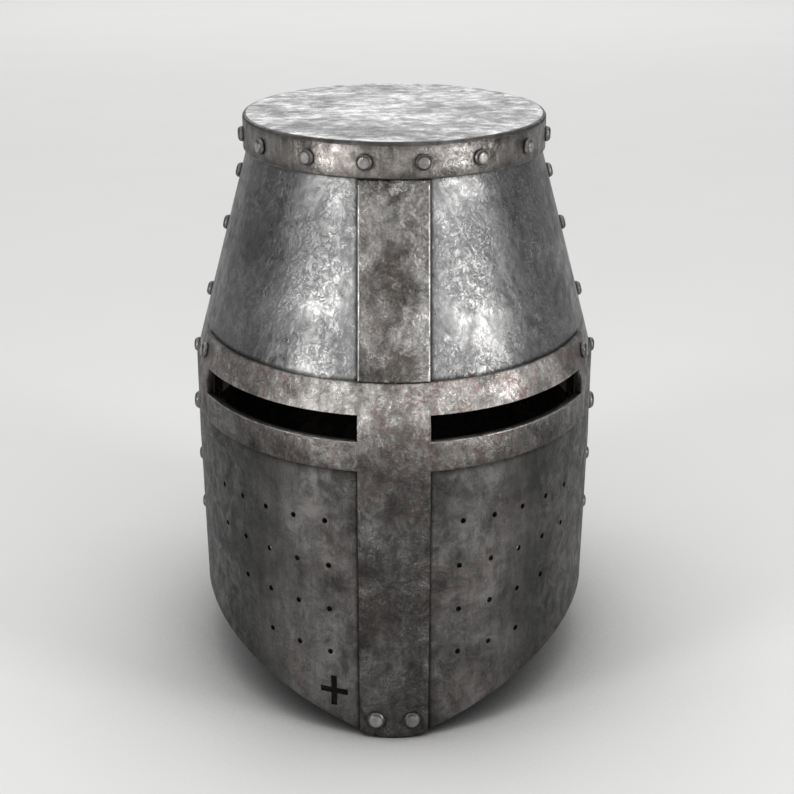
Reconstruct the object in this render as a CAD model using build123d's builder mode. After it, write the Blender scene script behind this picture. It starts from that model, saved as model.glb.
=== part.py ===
from build123d import *
import math
import os

# Great helm of riveted steel plate, in millimetres.
# +Z is up, the face looks along -Y, and the wearer's left side is at +X.
# The origin is on the floor under the middle of the helm, which stands on its front tip
# and on the level rear edge.

# Shell
wall = 1.8                    # thickness of every steel plate
lap_gap = 0.15                # air between two plates that lie on each other
overrun = 6.0                 # how far a cutter runs past what it cuts
helm_height = 305.0           # floor to the top face
half_width = 111.6            # outside of the face plate at the sides
half_depth = 141.0            # outside of the face plate at the front
skirt_share = 0.41            # height where the lower plates start to narrow, of the helm's height
skirt_taper = 2.4             # how much narrower they are on each side at the bottom
bend_share = 0.5889           # height of the bend into the cone, of the helm's height
neck_drop = 19.0              # the cone turns into the upright neck this far below the top
neck_half_width = 80.4        # outside of the front neck
neck_half_depth = 100.5
margin_depth = 22.0           # how far the skull plates reach down behind the lower plates
feather = 0.35                # thickness left at the filed top edge of the lower plates
seam_lap = 7.0                # front and rear plates overlap this far past the side seam

# Lower edge
tip_radius = 54.0             # rounding of the front tip
edge_angle = 20.9             # slope of the front edge, in degrees
edge_corner_share = 0.976     # where that slope meets the level side, of the half width
edge_corner_radius = 23.0     # rounding there
rear_level_share = 0.556      # half of the level rear edge that rests on the floor, of the half width
rear_rise_share = 0.358       # run of the rear edge's slope on each side, of the half width
rear_corner_radius = 30.0

# Top plate
flange_wall = 1.8
flange_depth = 18.4           # from the top face down to the flange's lower edge
top_shoulder = 2.0            # rounding of the outer top edge
flange_lip = 0.6              # rounding of the flange's lower outer edge
seat_gap = 0.2                # air between the neck's upper edge and the top plate

# Cross plate and upper strip
strip_half = 18.0             # half width of the upright and of the strip
arm_top_share = 0.6338        # of the helm's height
arm_low_share = 0.4902
arm_end = 50.0                # the arms stop this far in front of the side seam
arm_corner = 2.5              # rounding between an arm and the upright
strip_wall = 1.6

# Sights
sight_low_share = 0.5413      # of the helm's height
sight_high_share = 0.5843
sight_inner = 17.8            # from the middle to the inner end of a sight
sight_angle = 61.5            # outer end of a sight, in degrees from the front
sight_margin = 3.0            # the skull plate's edge stands back this far from the sight
sight_back = 55.0             # how far the sight's cutter reaches in behind its outer end

# Breath holes, on both sides of the face
breath_radius = 1.5
breath_top_share = 0.3941     # height of the highest row, of the helm's height
breath_pitch_share = 0.0803   # from row to row, of the helm's height
breath_start = 17.4           # innermost column, in degrees from the front
breath_step = 9.1             # from column to column, in degrees
breath_top_lead = 0.8         # the highest row stands this many degrees further out
breath_counts = (5, 5, 4, 3)
breath_rise_shares = (-0.02, 0.01, 0.04, 0.065)    # rise per column, of the row pitch

# Cross-shaped cut-out for a guard chain's toggle, on the wearer's right
toggle_angle = -16.6
toggle_height_share = 0.079  # of the helm's height
toggle_tall = 17.2
toggle_wide = 15.2
toggle_arm = 3.3

# Rivets; the shares place them on the helm's height
shank_radius = 2.0
shank_gap = 0.05              # air round a shank in its hole
head_radius = 4.1
head_height = 2.8
foot_head_radius = 4.6
foot_head_height = 2.2
strap_head_radius = 5.2
strap_head_height = 4.0
tail_radius = 3.2             # peened end on the inside
tail_height = 1.3
tail_gap = 0.12               # air under the peened end
head_flat_share = 0.42        # flat middle of a head, of its radius
head_rim_share = 0.22         # upright rim of a head, of its height
flange_rivet_angles = (10.0, 31.2, 55.5, 79.0)    # in each quarter, from its front or back
flange_rivet_drop = 10.0      # below the top face
skull_seam_shares = (0.8905, 0.7944, 0.6695)
lower_seam_shares = (0.3426, 0.2423)
strap_rivet_share = 0.4502
brow_seam_share = 0.5607
brow_arm_angle = 66.5
brow_arm_share = 0.6066
rear_lap_count = 7
rear_lap_share = 0.5541
rear_lap_step = 22.5          # from rivet to rivet, in degrees
foot_rivet_reach = 9.5        # from the middle to a foot rivet
foot_rivet_height = 10.7
strip_rivet_shares = (0.8852, 0.7803)
liner_rivet_share = 0.6721
liner_rivet_angles = (150.0, 210.0)
upright_rivet_shares = (0.5574, 0.4, 0.2033)
arm_rivet_share = 0.5148
arm_rivet_angles = (-50.0, -28.0, 28.0, 50.0)

# Lining
soft_gap = 0.3                # air round leather and padding
band_wall = 2.0
band_low_share = 0.6525       # of the helm's height, as the next four
band_high_share = 0.7344
pad_high_share = 0.7803
pad_low_share = 0.4918
brow_pad_low_share = 0.6557
pad_wall = 12.0
pad_clear = 1.5               # half the split between neighbouring pads, in degrees
brow_pad_angle = 74.0         # the brow pad runs this far to each side
temple_pad_angle = 124.0      # the temple pads run from the brow pad back to this
wedge_sides = 4               # sides of the outline that cuts a pad to its sector
crown_pad_wall = 15.0
crown_pad_margin = 5.0        # from the neck in to the crown pad
crown_pad_round = 5.0

# Chin strap and buckle
strap_width = 18.0
strap_thickness = 2.4
left_strap_length = 88.0      # from the rivet to the tip
right_strap_length = 42.0     # from the rivet to the buckle's bar
spacer_radius = 7.0
spacer_wall = 4.0
rove_radius = 4.6
rove_wall = 1.2
strap_hole_radius = 1.6
strap_hole_pitch = 12.0
strap_hole_count = 4
strap_hole_first = 18.0       # from the tip up to the lowest hole
strap_tip = 12.0              # length of the pointed tip
bar_radius = 1.6
bar_gap = 0.08                # air round the buckle's bar
eye_wall = 1.5
eye_slot = 6.0                # gap in the strap's eye for the tongue
eye_slot_rise = 7.0           # the gap reaches this far above the bar
buckle_half_width = 13.5
buckle_length = 22.0          # from the bar to the far side's outside
buckle_wire = 3.4             # width of the frame's sides
buckle_wall = 3.0             # thickness of the frame
buckle_corner = 4.0
tongue_width = 3.4
tongue_wall = 1.4
tongue_reach = 0.5            # the tongue reaches this far past the frame
tongue_round = 1.1            # rounding of the tongue's tip

# Heights that grow with the helm
skirt_height = helm_height * skirt_share
bend_height = helm_height * bend_share
neck_height = helm_height - neck_drop
neck_top = helm_height - wall - seat_gap
flange_low = helm_height - flange_depth
arm_top = helm_height * arm_top_share
arm_low = helm_height * arm_low_share
sight_low = helm_height * sight_low_share
sight_high = helm_height * sight_high_share
band_low = helm_height * band_low_share
band_high = helm_height * band_high_share
pad_high = helm_height * pad_high_share
pad_low = helm_height * pad_low_share
brow_pad_low = helm_height * brow_pad_low_share
breath_top = helm_height * breath_top_share
breath_pitch = helm_height * breath_pitch_share

# Derived sizes. A ring is (height, half width, front half depth, rear half depth).
layer = wall + lap_gap
margin_half_width = half_width - layer
margin_half_depth = half_depth - layer
cone_rise = neck_height - bend_height
cone_slope = (margin_half_width - neck_half_width) / cone_rise
taper_low = neck_height - (half_width - neck_half_width) / cone_slope
taper_high = neck_height - (half_width - wall + feather - neck_half_width) / cone_slope
margin_low = bend_height - margin_depth
cross_half_width = half_width + layer
cross_half_depth = half_depth + layer
rear_half_depth = cross_half_depth + foot_head_height - head_height
edge_slope = math.tan(math.radians(edge_angle))
tip_drop = tip_radius * (1 / math.cos(math.radians(edge_angle)) - 1)
edge_corner = half_width * edge_corner_share
side_edge_height = edge_corner * edge_slope - tip_drop
rear_level_half = half_width * rear_level_share


def ring_at(profile, height):
    """The ring of a wall at a height, and how fast its three sizes grow with height."""
    for low, high in zip(profile, profile[1:]):
        if height <= high[0]:
            break
    growth = [(high[i] - low[i]) / (high[0] - low[0]) for i in (1, 2, 3)]
    sizes = [low[i] + growth[i - 1] * (height - low[0]) for i in (1, 2, 3)]
    return sizes, growth


def inset(profile, amount):
    """The same wall, moved in by an amount all round."""
    return [(z, a - amount, front - amount, rear - amount) for z, a, front, rear in profile]


def between(profile, low, high):
    """The rings of a wall from one height to another."""
    inner = [ring for ring in profile if low < ring[0] < high]
    ends = [(z, *ring_at(profile, z)[0]) for z in (low, high)]
    return [ends[0], *inner, ends[1]]


def oval(height, across, front, rear):
    """The face inside one ring, which is two half ellipses."""
    with BuildSketch(Plane.XY.offset(height)) as ring:
        with BuildLine():
            EllipticalCenterArc((0, 0), across, rear, start_angle=0, arc_size=180)
            EllipticalCenterArc((0, 0), across, front, start_angle=180, arc_size=180)
        make_face()
    return ring.sketch.face()


def oval_body(profile, mode=Mode.ADD):
    """A solid through the rings of a wall, straight from ring to ring."""
    for low, high in zip(profile, profile[1:]):
        loft(sections=[oval(*low), oval(*high)], ruled=True, mode=mode)


def oval_block(low, high, sizes, mode=Mode.ADD):
    """An upright oval solid whose edges can be rounded afterwards."""
    extrude(oval(low, *sizes), amount=high - low, mode=mode)


def through(profile):
    """The same wall, run on straight past both ends so that it cuts clean through."""
    first = (profile[0][0] - overrun, *profile[0][1:])
    last = (profile[-1][0] + overrun, *profile[-1][1:])
    return [first, *profile, last]


def shell(outer, thickness):
    """A wall of even thickness inside a profile, open at both ends."""
    oval_body(outer)
    oval_body(through(inset(outer, thickness)), mode=Mode.SUBTRACT)


def filed_shell(outer, thickness):
    """A wall whose outside is filed back to the cone along its top edge, and its inside isn't."""
    oval_body(outer)
    inner = inset(outer, thickness)
    oval_body(through([*inner[:-1], (outer[-1][0], *inner[-2][1:])]), mode=Mode.SUBTRACT)


def place_on(profile, angle, height):
    """The plane that touches a wall, with its Z pointing out; angles start at the front."""
    (across, front, rear), (grow_across, grow_front, grow_rear) = ring_at(profile, height)
    side = math.sin(math.radians(angle))
    ahead = math.cos(math.radians(angle))
    deep, grow_deep = (front, grow_front) if ahead >= 0 else (rear, grow_rear)
    lean = side ** 2 * grow_across / across + ahead ** 2 * grow_deep / deep
    outward = Vector(side / across, -ahead / deep, -lean)
    along = Vector(across * ahead, deep * side, 0)
    return Plane(origin=(across * side, -deep * ahead, height), x_dir=along, z_dir=outward)


def wedge(start, end):
    """A plan outline that holds a sector of the helm, between two angles."""
    reach = 2 * half_depth
    corners = [(0, 0)]
    for i in range(wedge_sides + 1):
        turn = math.radians(start + (end - start) * i / wedge_sides)
        corners.append((reach * math.sin(turn), -reach * math.cos(turn)))
    with BuildSketch(Plane.XY) as sector:
        with BuildLine():
            Polyline(*corners, close=True)
        make_face()
    return sector.sketch.face()


def sight_plan(side, margin, height):
    """Plan outline of one sight: straight inner end, outer end square to the wall."""
    angle = sight_angle + math.degrees(margin / half_width)
    end = place_on(lower_profile, angle, sight_low)
    out = end.origin + end.z_dir * overrun
    back = end.origin - end.z_dir * sight_back
    inner = sight_inner - margin
    deep = -cross_half_depth - overrun
    corners = [(inner, deep), (out.X, deep), (out.X, out.Y), (back.X, back.Y), (inner, back.Y)]
    with BuildSketch(Plane.XY.offset(height)) as plan:
        with BuildLine():
            Polyline(*[(side * x, y) for x, y in corners], close=True)
        make_face()
    return plan.sketch.face()


def cut_sights(low, high, margin):
    """Cuts both sights through the part in hand."""
    for side in (-1, 1):
        extrude(sight_plan(side, margin, low), amount=high - low, mode=Mode.SUBTRACT)


def cut_lower_edge(front):
    """Cuts the lower edge: a V with a rounded tip in front, a level rest behind."""
    far = half_width + edge_corner_radius
    if front:
        inner = [(0, -tip_drop)]
        corner = edge_corner
        bend = edge_corner_radius
    else:
        inner = [(rear_level_half, 0), (-rear_level_half, 0)]
        corner = rear_level_half + half_width * rear_rise_share
        bend = rear_corner_radius
    upper = [(far, side_edge_height), (corner, side_edge_height), *inner]
    upper += [(-corner, side_edge_height), (-far, side_edge_height)]
    low = -tip_drop - overrun
    toward = 1 if front else -1
    with BuildSketch(Plane.XZ.offset(-toward * (seam_lap + overrun))) as outline:
        with BuildLine():
            Polyline(*upper, (-far, low), (far, low), close=True)
        make_face()
        corners = outline.vertices().filter_by(lambda v: abs(abs(v.X) - corner) < wall)
        fillet(corners, radius=bend)
        if front:
            tip = outline.vertices().filter_by(lambda v: abs(v.X) < wall)
            fillet(tip, radius=tip_radius)
    reach = half_depth + rear_half_depth
    extrude(outline.sketch.face(), amount=toward * reach, mode=Mode.SUBTRACT)


def keep_front(limit):
    """Keeps what lies in front of y = limit."""
    split(bisect_by=Plane.XZ.offset(-limit), keep=Keep.TOP)


def keep_rear(limit):
    """Keeps what lies behind y = limit."""
    split(bisect_by=Plane.XZ.offset(-limit), keep=Keep.BOTTOM)


def drill(places, radius=shank_radius + shank_gap, depth=2 * overrun):
    """Drills a hole to a depth at each place."""
    with Locations(*places):
        Cylinder(radius, 2 * depth, mode=Mode.SUBTRACT)


def stack_depth(place, plates):
    """Depth of a stack of plates, measured square to the wall."""
    level = math.hypot(place.z_dir.X, place.z_dir.Y)
    return (plates * wall + (plates - 1) * lap_gap) * level


def rivet(depth, radius, height):
    """One rivet: a low head with a flat middle outside, a peened end inside."""
    rim = height * head_rim_share
    flat = radius * head_flat_share
    tail = -depth - tail_gap
    tip = tail - tail_height
    with BuildPart() as one:
        with BuildSketch(Plane.XZ):
            with BuildLine():
                Line((0, height), (flat, height))
                TangentArc((flat, height), (radius, rim), tangent=(1, 0))
                Polyline((radius, rim), (radius, 0), (shank_radius, 0), (shank_radius, tail),
                         (tail_radius, tail))
                TangentArc((0, tip), (tail_radius, tail), tangent=(1, 0))
                Line((0, tip), (0, height))
            make_face()
        revolve(axis=Axis.Z)
    return one.part


def flush_rivet(depth, sink):
    """A rivet whose outer end is filed flush with the plate."""
    tail = -depth - tail_gap
    tip = tail - tail_height
    with BuildPart() as one:
        with BuildSketch(Plane.XZ):
            with BuildLine():
                Polyline((0, -sink), (shank_radius, -sink), (shank_radius, tail), (tail_radius, tail))
                TangentArc((0, tip), (tail_radius, tail), tangent=(1, 0))
                Line((0, tip), (0, -sink))
            make_face()
        revolve(axis=Axis.Z)
    return one.part


def place_rivets(places, plates, filler=0.0, radius=head_radius, height=head_height):
    """Adds one rivet at each place, through so many plates and any further depth."""
    for place in places:
        body = rivet(stack_depth(place, plates) + filler, radius, height)
        with Locations(place):
            add(body)


def place_flush_rivets(places, plates, filler=0.0):
    """Adds one flush rivet at each place, with any further depth that it has to bridge."""
    sink = shank_radius ** 2 / half_width
    for place in places:
        body = flush_rivet(stack_depth(place, plates) + filler, sink)
        with Locations(place):
            add(body)


# Wall profiles, from the outside of the lower front plate inwards. The lower plates start
# below the floor, so that the cutter alone shapes their lower edges.
lower_sizes = (half_width, half_depth, rear_half_depth + layer)
lower_profile = [
    (-overrun, half_width - skirt_taper, *lower_sizes[1:]),
    (skirt_height, *lower_sizes),
    (taper_low, *lower_sizes),
    (taper_high, *[size - wall + feather for size in lower_sizes]),
]
nape_profile = inset(lower_profile, layer)
skull_profile = [
    (margin_low, margin_half_width, margin_half_depth, rear_half_depth),
    (bend_height, margin_half_width, margin_half_depth, rear_half_depth),
    (neck_height, neck_half_width, neck_half_depth, neck_half_depth),
    (neck_top, neck_half_width, neck_half_depth, neck_half_depth),
]
rear_skull_profile = inset(skull_profile, layer)
pad_stand = 2 * soft_gap + band_wall
liner_profile = [
    (z, a - layer - wall, front - wall, rear - layer - wall) for z, a, front, rear in skull_profile
]
cross_profile = [
    *inset(lower_profile[:-1], -layer),
    (bend_height, *lower_sizes),
    (arm_top, *[size + layer for size in ring_at(skull_profile, arm_top)[0]]),
]
flange_profile = [
    (flange_low, *[size + lap_gap + flange_wall for size in skull_profile[-1][1:]]),
    (helm_height, *[size + lap_gap + flange_wall for size in skull_profile[-1][1:]]),
]

# Places of the rivets
flange_angles = [middle + side * angle for middle in (0, 180) for angle in flange_rivet_angles
                 for side in (-1, 1)]
flange_row = helm_height - flange_rivet_drop
flange_places = [place_on(flange_profile, angle, flange_row) for angle in flange_angles]
front_flange_places = [place for place in flange_places if place.origin.Y < 0]
rear_flange_places = [place for place in flange_places if place.origin.Y > 0]


def row_on(profile, angles, shares):
    """The places of rivets on a wall: at every angle, at each share of the helm's height."""
    return [place_on(profile, angle, helm_height * share) for share in shares for angle in angles]


right_skull_places = row_on(skull_profile, [-90], skull_seam_shares)
left_skull_places = row_on(skull_profile, [90], skull_seam_shares)
right_seam_places = row_on(lower_profile, [-90], lower_seam_shares)
left_seam_places = row_on(lower_profile, [90], lower_seam_shares)
right_strap_place, left_strap_place = row_on(lower_profile, [-90, 90], [strap_rivet_share])
brow_seam_places = row_on(lower_profile, [-90, 90], [brow_seam_share])
brow_arm_places = row_on(cross_profile, [-brow_arm_angle, brow_arm_angle], [brow_arm_share])
rear_lap_span = rear_lap_step * (rear_lap_count - 1)
rear_lap_angles = [180 - rear_lap_span / 2 + rear_lap_step * i for i in range(rear_lap_count)]
rear_lap_places = row_on(nape_profile, rear_lap_angles, [rear_lap_share])
foot_angle = math.degrees(math.asin(foot_rivet_reach / cross_half_width))
foot_places = [place_on(cross_profile, side * foot_angle, foot_rivet_height) for side in (-1, 1)]
strip_profile = inset(skull_profile, -lap_gap - strip_wall)
strip_rivet_places = row_on(strip_profile, [0], strip_rivet_shares)
strip_liner_place = row_on(strip_profile, [0], [liner_rivet_share])[0]
liner_places = row_on(rear_skull_profile, liner_rivet_angles, [liner_rivet_share])
upright_places = row_on(cross_profile, [0], upright_rivet_shares)
arm_places = row_on(cross_profile, arm_rivet_angles, [arm_rivet_share])
breath_places = []
for row, count in enumerate(breath_counts):
    for column in range(count):
        angle = breath_start + breath_step * column + (breath_top_lead if row == 0 else 0)
        height = breath_top - breath_pitch * row + breath_pitch * breath_rise_shares[row] * column
        breath_places += [place_on(lower_profile, side * angle, height) for side in (-1, 1)]
toggle_place = place_on(lower_profile, toggle_angle, helm_height * toggle_height_share)

# Top plate: a flat oval with a turned-down flange
with BuildPart() as top_plate:
    oval_block(flange_low, helm_height, flange_profile[0][1:])
    fillet(top_plate.faces().sort_by(Axis.Z)[-1].edges(), radius=top_shoulder)
    fillet(top_plate.faces().sort_by(Axis.Z)[0].edges(), radius=flange_lip)
    flange_inner = inset(flange_profile, flange_wall)[0][1:]
    oval_block(flange_low - overrun, helm_height - wall, flange_inner, mode=Mode.SUBTRACT)
    drill(flange_places)

# Skull front plate: cone with an upright neck above and an upright margin below
with BuildPart() as skull_front_plate:
    shell(skull_profile, wall)
    keep_front(seam_lap)
    cut_sights(margin_low - overrun, sight_high, sight_margin)
    with Locations((0, -seam_lap - 2 * lap_gap, taper_high + lap_gap)):
        Box(2 * half_depth, 2 * seam_lap + overrun, 2 * margin_depth,
            align=(Align.CENTER, Align.MIN, Align.MAX), mode=Mode.SUBTRACT)
    drill(front_flange_places + right_skull_places + left_skull_places)
    drill(strip_rivet_places + [strip_liner_place, upright_places[0]] + brow_arm_places)

# Skull rear plate: the same, one layer further in, with its top edge folded out to fill the flange
with BuildPart() as rear_hem:
    shell(between(skull_profile, flange_low + lap_gap, neck_top), layer + wall / 2)
    keep_rear(seam_lap + 2 * lap_gap)

with BuildPart() as skull_rear_plate:
    shell(rear_skull_profile, wall)
    keep_rear(-seam_lap)
    add(rear_hem.part)
    drill(rear_flange_places + right_skull_places + left_skull_places)
    drill(brow_seam_places + rear_lap_places + liner_places)

# Face plate: upright wall with the sights' lower lips, breath holes and the toggle cut-out
with BuildPart() as face_plate:
    filed_shell(lower_profile, wall)
    keep_front(seam_lap)
    drill(brow_seam_places + foot_places + upright_places + arm_places)
    drill(right_seam_places + left_seam_places + [right_strap_place, left_strap_place])
    cut_lower_edge(front=True)
    cut_sights(sight_low, taper_high + overrun, 0)
    drill(breath_places, breath_radius)
    with Locations(toggle_place):
        Box(toggle_arm, toggle_tall, 2 * overrun, mode=Mode.SUBTRACT)
        Box(toggle_wide, toggle_arm, 2 * overrun, mode=Mode.SUBTRACT)

# Nape plate: the lower rear wall, with the level edge that the helm stands on
with BuildPart() as nape_plate:
    filed_shell(nape_profile, wall)
    keep_rear(-seam_lap)
    drill(brow_seam_places + rear_lap_places)
    drill(right_seam_places + left_seam_places + [right_strap_place, left_strap_place])
    cut_lower_edge(front=False)

# Cross plate: brow arms round the sights, nasal and upright; above the sights it leans back on the cone
with BuildPart() as cross_plate:
    shell(cross_profile, wall)
    keep_front(-arm_end)
    drill(brow_arm_places + foot_places + upright_places + arm_places)
    for side in (-1, 1):
        with BuildSketch(Plane.XZ) as below:
            with Locations((side * strip_half, arm_low)):
                Rectangle(2 * half_width, 2 * arm_low,
                          align=(Align.MIN if side > 0 else Align.MAX, Align.MAX))
            corner = below.vertices().sort_by(Axis.Y)[-2:].sort_by(lambda v: abs(v.X))[0]
            fillet(corner, radius=arm_corner)
        extrude(below.sketch.face(), amount=2 * half_depth, mode=Mode.SUBTRACT)
    cut_lower_edge(front=True)
    cut_sights(sight_low, sight_high, 0)

# Upper strip: from the flange down the skull to the cross plate's top edge
with BuildPart() as upper_strip:
    shell(between(strip_profile, arm_top + lap_gap, flange_low - 2 * lap_gap), strip_wall)
    keep_front(-neck_half_depth / 2)
    split(bisect_by=Plane.YZ.offset(strip_half), keep=Keep.BOTTOM)
    split(bisect_by=Plane.YZ.offset(-strip_half), keep=Keep.TOP)
    drill(strip_rivet_places + [strip_liner_place])

# Rivets, one node for each row
with BuildPart() as flange_rivets:
    place_rivets(front_flange_places, 2, flange_wall - wall)
    place_rivets(rear_flange_places, 3, flange_wall - wall)

with BuildPart() as right_skull_rivets:
    place_rivets(right_skull_places[:2], 2)
    place_rivets(right_skull_places[2:], 2, soft_gap + band_wall)

with BuildPart() as left_skull_rivets:
    place_rivets(left_skull_places[:2], 2)
    place_rivets(left_skull_places[2:], 2, soft_gap + band_wall)

with BuildPart() as brow_rivets:
    place_rivets(brow_seam_places, 3)
    place_rivets(brow_arm_places, 2)

with BuildPart() as right_seam_rivets:
    place_rivets(right_seam_places, 2)

with BuildPart() as left_seam_rivets:
    place_rivets(left_seam_places, 2)

with BuildPart() as rear_lap_rivets:
    place_rivets(rear_lap_places, 2)

with BuildPart() as foot_rivets:
    place_rivets(foot_places, 2, 0, foot_head_radius, foot_head_height)

with BuildPart() as strip_rivets:
    place_flush_rivets(strip_rivet_places, 2, strip_wall - wall)

with BuildPart() as cross_plate_rivets:
    place_flush_rivets(upright_places[:1], 3)
    place_flush_rivets(upright_places[1:] + arm_places, 2)

# The liner's own rivets: one filed flush with the strip, two with heads behind
with BuildPart() as liner_rivets:
    place_flush_rivets([strip_liner_place], 2, strip_wall - wall + soft_gap + band_wall)
    place_rivets(liner_places, 1, soft_gap + band_wall)

# Leather band round the inside of the skull, which carries the padding
with BuildPart() as liner_band:
    shell(between(inset(liner_profile, soft_gap), band_low, band_high), band_wall)
    drill(right_skull_places[2:] + left_skull_places[2:] + liner_places + [strip_liner_place])

# Padding: simple closed bodies that stand just inside the band
pad_profile = inset(liner_profile, pad_stand)
tail_room = tail_radius + soft_gap
tail_reach = 2 * wall + lap_gap + soft_gap + band_wall + tail_gap + tail_height + soft_gap

with BuildPart() as brow_pad:
    shell(between(pad_profile, brow_pad_low, pad_high), pad_wall)
    sector = wedge(pad_clear - brow_pad_angle, brow_pad_angle - pad_clear)
    extrude(sector, amount=helm_height, mode=Mode.INTERSECT)
    drill([strip_liner_place], tail_room, tail_reach + strip_wall)

with BuildPart() as left_temple_pad:
    shell(between(pad_profile, pad_low, pad_high), pad_wall)
    sector = wedge(brow_pad_angle + pad_clear, temple_pad_angle - pad_clear)
    extrude(sector, amount=helm_height, mode=Mode.INTERSECT)
    drill(left_skull_places[2:], tail_room, tail_reach)

with BuildPart() as right_temple_pad:
    mirror(left_temple_pad.part, about=Plane.YZ)

with BuildPart() as nape_pad:
    shell(between(pad_profile, pad_low, pad_high), pad_wall)
    sector = wedge(temple_pad_angle + pad_clear, 360 - temple_pad_angle - pad_clear)
    extrude(sector, amount=helm_height, mode=Mode.INTERSECT)
    drill(liner_places, tail_room, tail_reach)

with BuildPart() as crown_pad:
    crown_top = helm_height - wall - soft_gap
    crown_ring = inset(rear_skull_profile, wall + crown_pad_margin)[-1][1:]
    oval_block(crown_top - crown_pad_wall, crown_top, crown_ring)
    fillet(crown_pad.faces().sort_by(Axis.Z)[0].edges(), radius=crown_pad_round)

# Chin strap: on each side a spacer, a strap half that swings on the rivet, and a rove
spacer_depth = 2 * wall + lap_gap + soft_gap
strap_depth = spacer_depth + spacer_wall + soft_gap
rove_depth = strap_depth + strap_thickness + soft_gap
strap_end = strap_width / 2


def ring_disc(plane, radius, thickness):
    """A flat ring round a strap rivet."""
    with BuildSketch(plane) as face:
        Circle(radius)
        Circle(shank_radius + shank_gap, mode=Mode.SUBTRACT)
    extrude(face.sketch, amount=-thickness)


with BuildPart() as strap_spacers:
    ring_disc(left_strap_place.offset(-spacer_depth), spacer_radius, spacer_wall)
    ring_disc(right_strap_place.offset(-spacer_depth), spacer_radius, spacer_wall)

with BuildPart() as strap_roves:
    ring_disc(left_strap_place.offset(-rove_depth), rove_radius, rove_wall)
    ring_disc(right_strap_place.offset(-rove_depth), rove_radius, rove_wall)

with BuildPart() as strap_rivets:
    place_rivets([left_strap_place, right_strap_place], 2, rove_depth + rove_wall - 2 * wall - lap_gap,
                 strap_head_radius, strap_head_height)

with BuildPart() as left_chin_strap:
    with BuildSketch(left_strap_place.offset(-strap_depth)) as strap_face:
        with BuildLine():
            Polyline((-strap_end, 0), (-strap_end, strap_tip - left_strap_length), (0, -left_strap_length),
                     (strap_end, strap_tip - left_strap_length), (strap_end, 0))
            ThreePointArc((strap_end, 0), (0, strap_end), (-strap_end, 0))
        make_face()
        Circle(shank_radius + shank_gap, mode=Mode.SUBTRACT)
        with Locations(*[(0, strap_hole_first - left_strap_length + strap_hole_pitch * i)
                         for i in range(strap_hole_count)]):
            Circle(strap_hole_radius, mode=Mode.SUBTRACT)
    extrude(strap_face.sketch, amount=-strap_thickness)

# The right half ends in an eye round the buckle's bar; a local plane has its Z pointing out
strap_middle = right_strap_place.offset(-strap_depth - strap_thickness / 2)
bar_centre = strap_middle.origin - Vector(0, 0, right_strap_length)
bar_plane = Plane(origin=bar_centre, x_dir=strap_middle.x_dir, z_dir=strap_middle.z_dir)
bar_cross = Plane(origin=bar_centre, x_dir=strap_middle.z_dir, z_dir=strap_middle.x_dir)
eye_radius = bar_radius + bar_gap + eye_wall

with BuildPart() as right_chin_strap:
    with BuildSketch(strap_middle) as strap_face:
        with BuildLine():
            Polyline((strap_end, 0), (strap_end, -right_strap_length), (-strap_end, -right_strap_length),
                     (-strap_end, 0))
            ThreePointArc((strap_end, 0), (0, strap_end), (-strap_end, 0))
        make_face()
        Circle(shank_radius + shank_gap, mode=Mode.SUBTRACT)
    extrude(strap_face.sketch, amount=strap_thickness / 2, both=True)
    with BuildSketch(bar_cross) as eye_face:
        Circle(eye_radius)
    extrude(eye_face.sketch, amount=strap_end, both=True)
    with BuildSketch(bar_cross) as bore_face:
        Circle(bar_radius + bar_gap)
    extrude(bore_face.sketch, amount=strap_end + overrun, both=True, mode=Mode.SUBTRACT)
    with BuildSketch(bar_plane) as slot_face:
        with Locations((0, eye_slot_rise)):
            Rectangle(eye_slot, 2 * eye_slot_rise, align=(Align.CENTER, Align.MAX))
    extrude(slot_face.sketch, amount=eye_radius + overrun, both=True, mode=Mode.SUBTRACT)

with BuildPart() as buckle_frame:
    with BuildSketch(bar_plane) as frame_face:
        with Locations((0, bar_radius)):
            Rectangle(2 * buckle_half_width, buckle_length + bar_radius, align=(Align.CENTER, Align.MAX))
        fillet(frame_face.vertices().sort_by(Axis.Y)[:2], radius=buckle_corner)
        with Locations((0, buckle_wire - buckle_length)):
            Rectangle(2 * (buckle_half_width - buckle_wire), 2 * buckle_length,
                      align=(Align.CENTER, Align.MIN), mode=Mode.SUBTRACT)
    extrude(frame_face.sketch, amount=buckle_wall / 2, both=True)
    with BuildSketch(bar_cross) as bar_face:
        Circle(bar_radius)
    extrude(bar_face.sketch, amount=buckle_half_width - buckle_wire / 2, both=True)

with BuildPart() as buckle_tongue:
    pin_near = buckle_wall / 2 + soft_gap
    with BuildSketch(bar_cross) as knuckle_face:
        Circle(pin_near + tongue_wall)
    extrude(knuckle_face.sketch, amount=tongue_width / 2, both=True)
    with BuildSketch(bar_plane.offset(-pin_near)) as pin_face:
        Rectangle(tongue_width, buckle_length + tongue_reach, align=(Align.CENTER, Align.MAX))
        fillet(pin_face.vertices().sort_by(Axis.Y)[:2], radius=tongue_round)
    extrude(pin_face.sketch, amount=-tongue_wall)
    with BuildSketch(bar_cross) as bore_face:
        Circle(bar_radius + bar_gap)
    extrude(bore_face.sketch, amount=tongue_width, both=True, mode=Mode.SUBTRACT)

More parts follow.
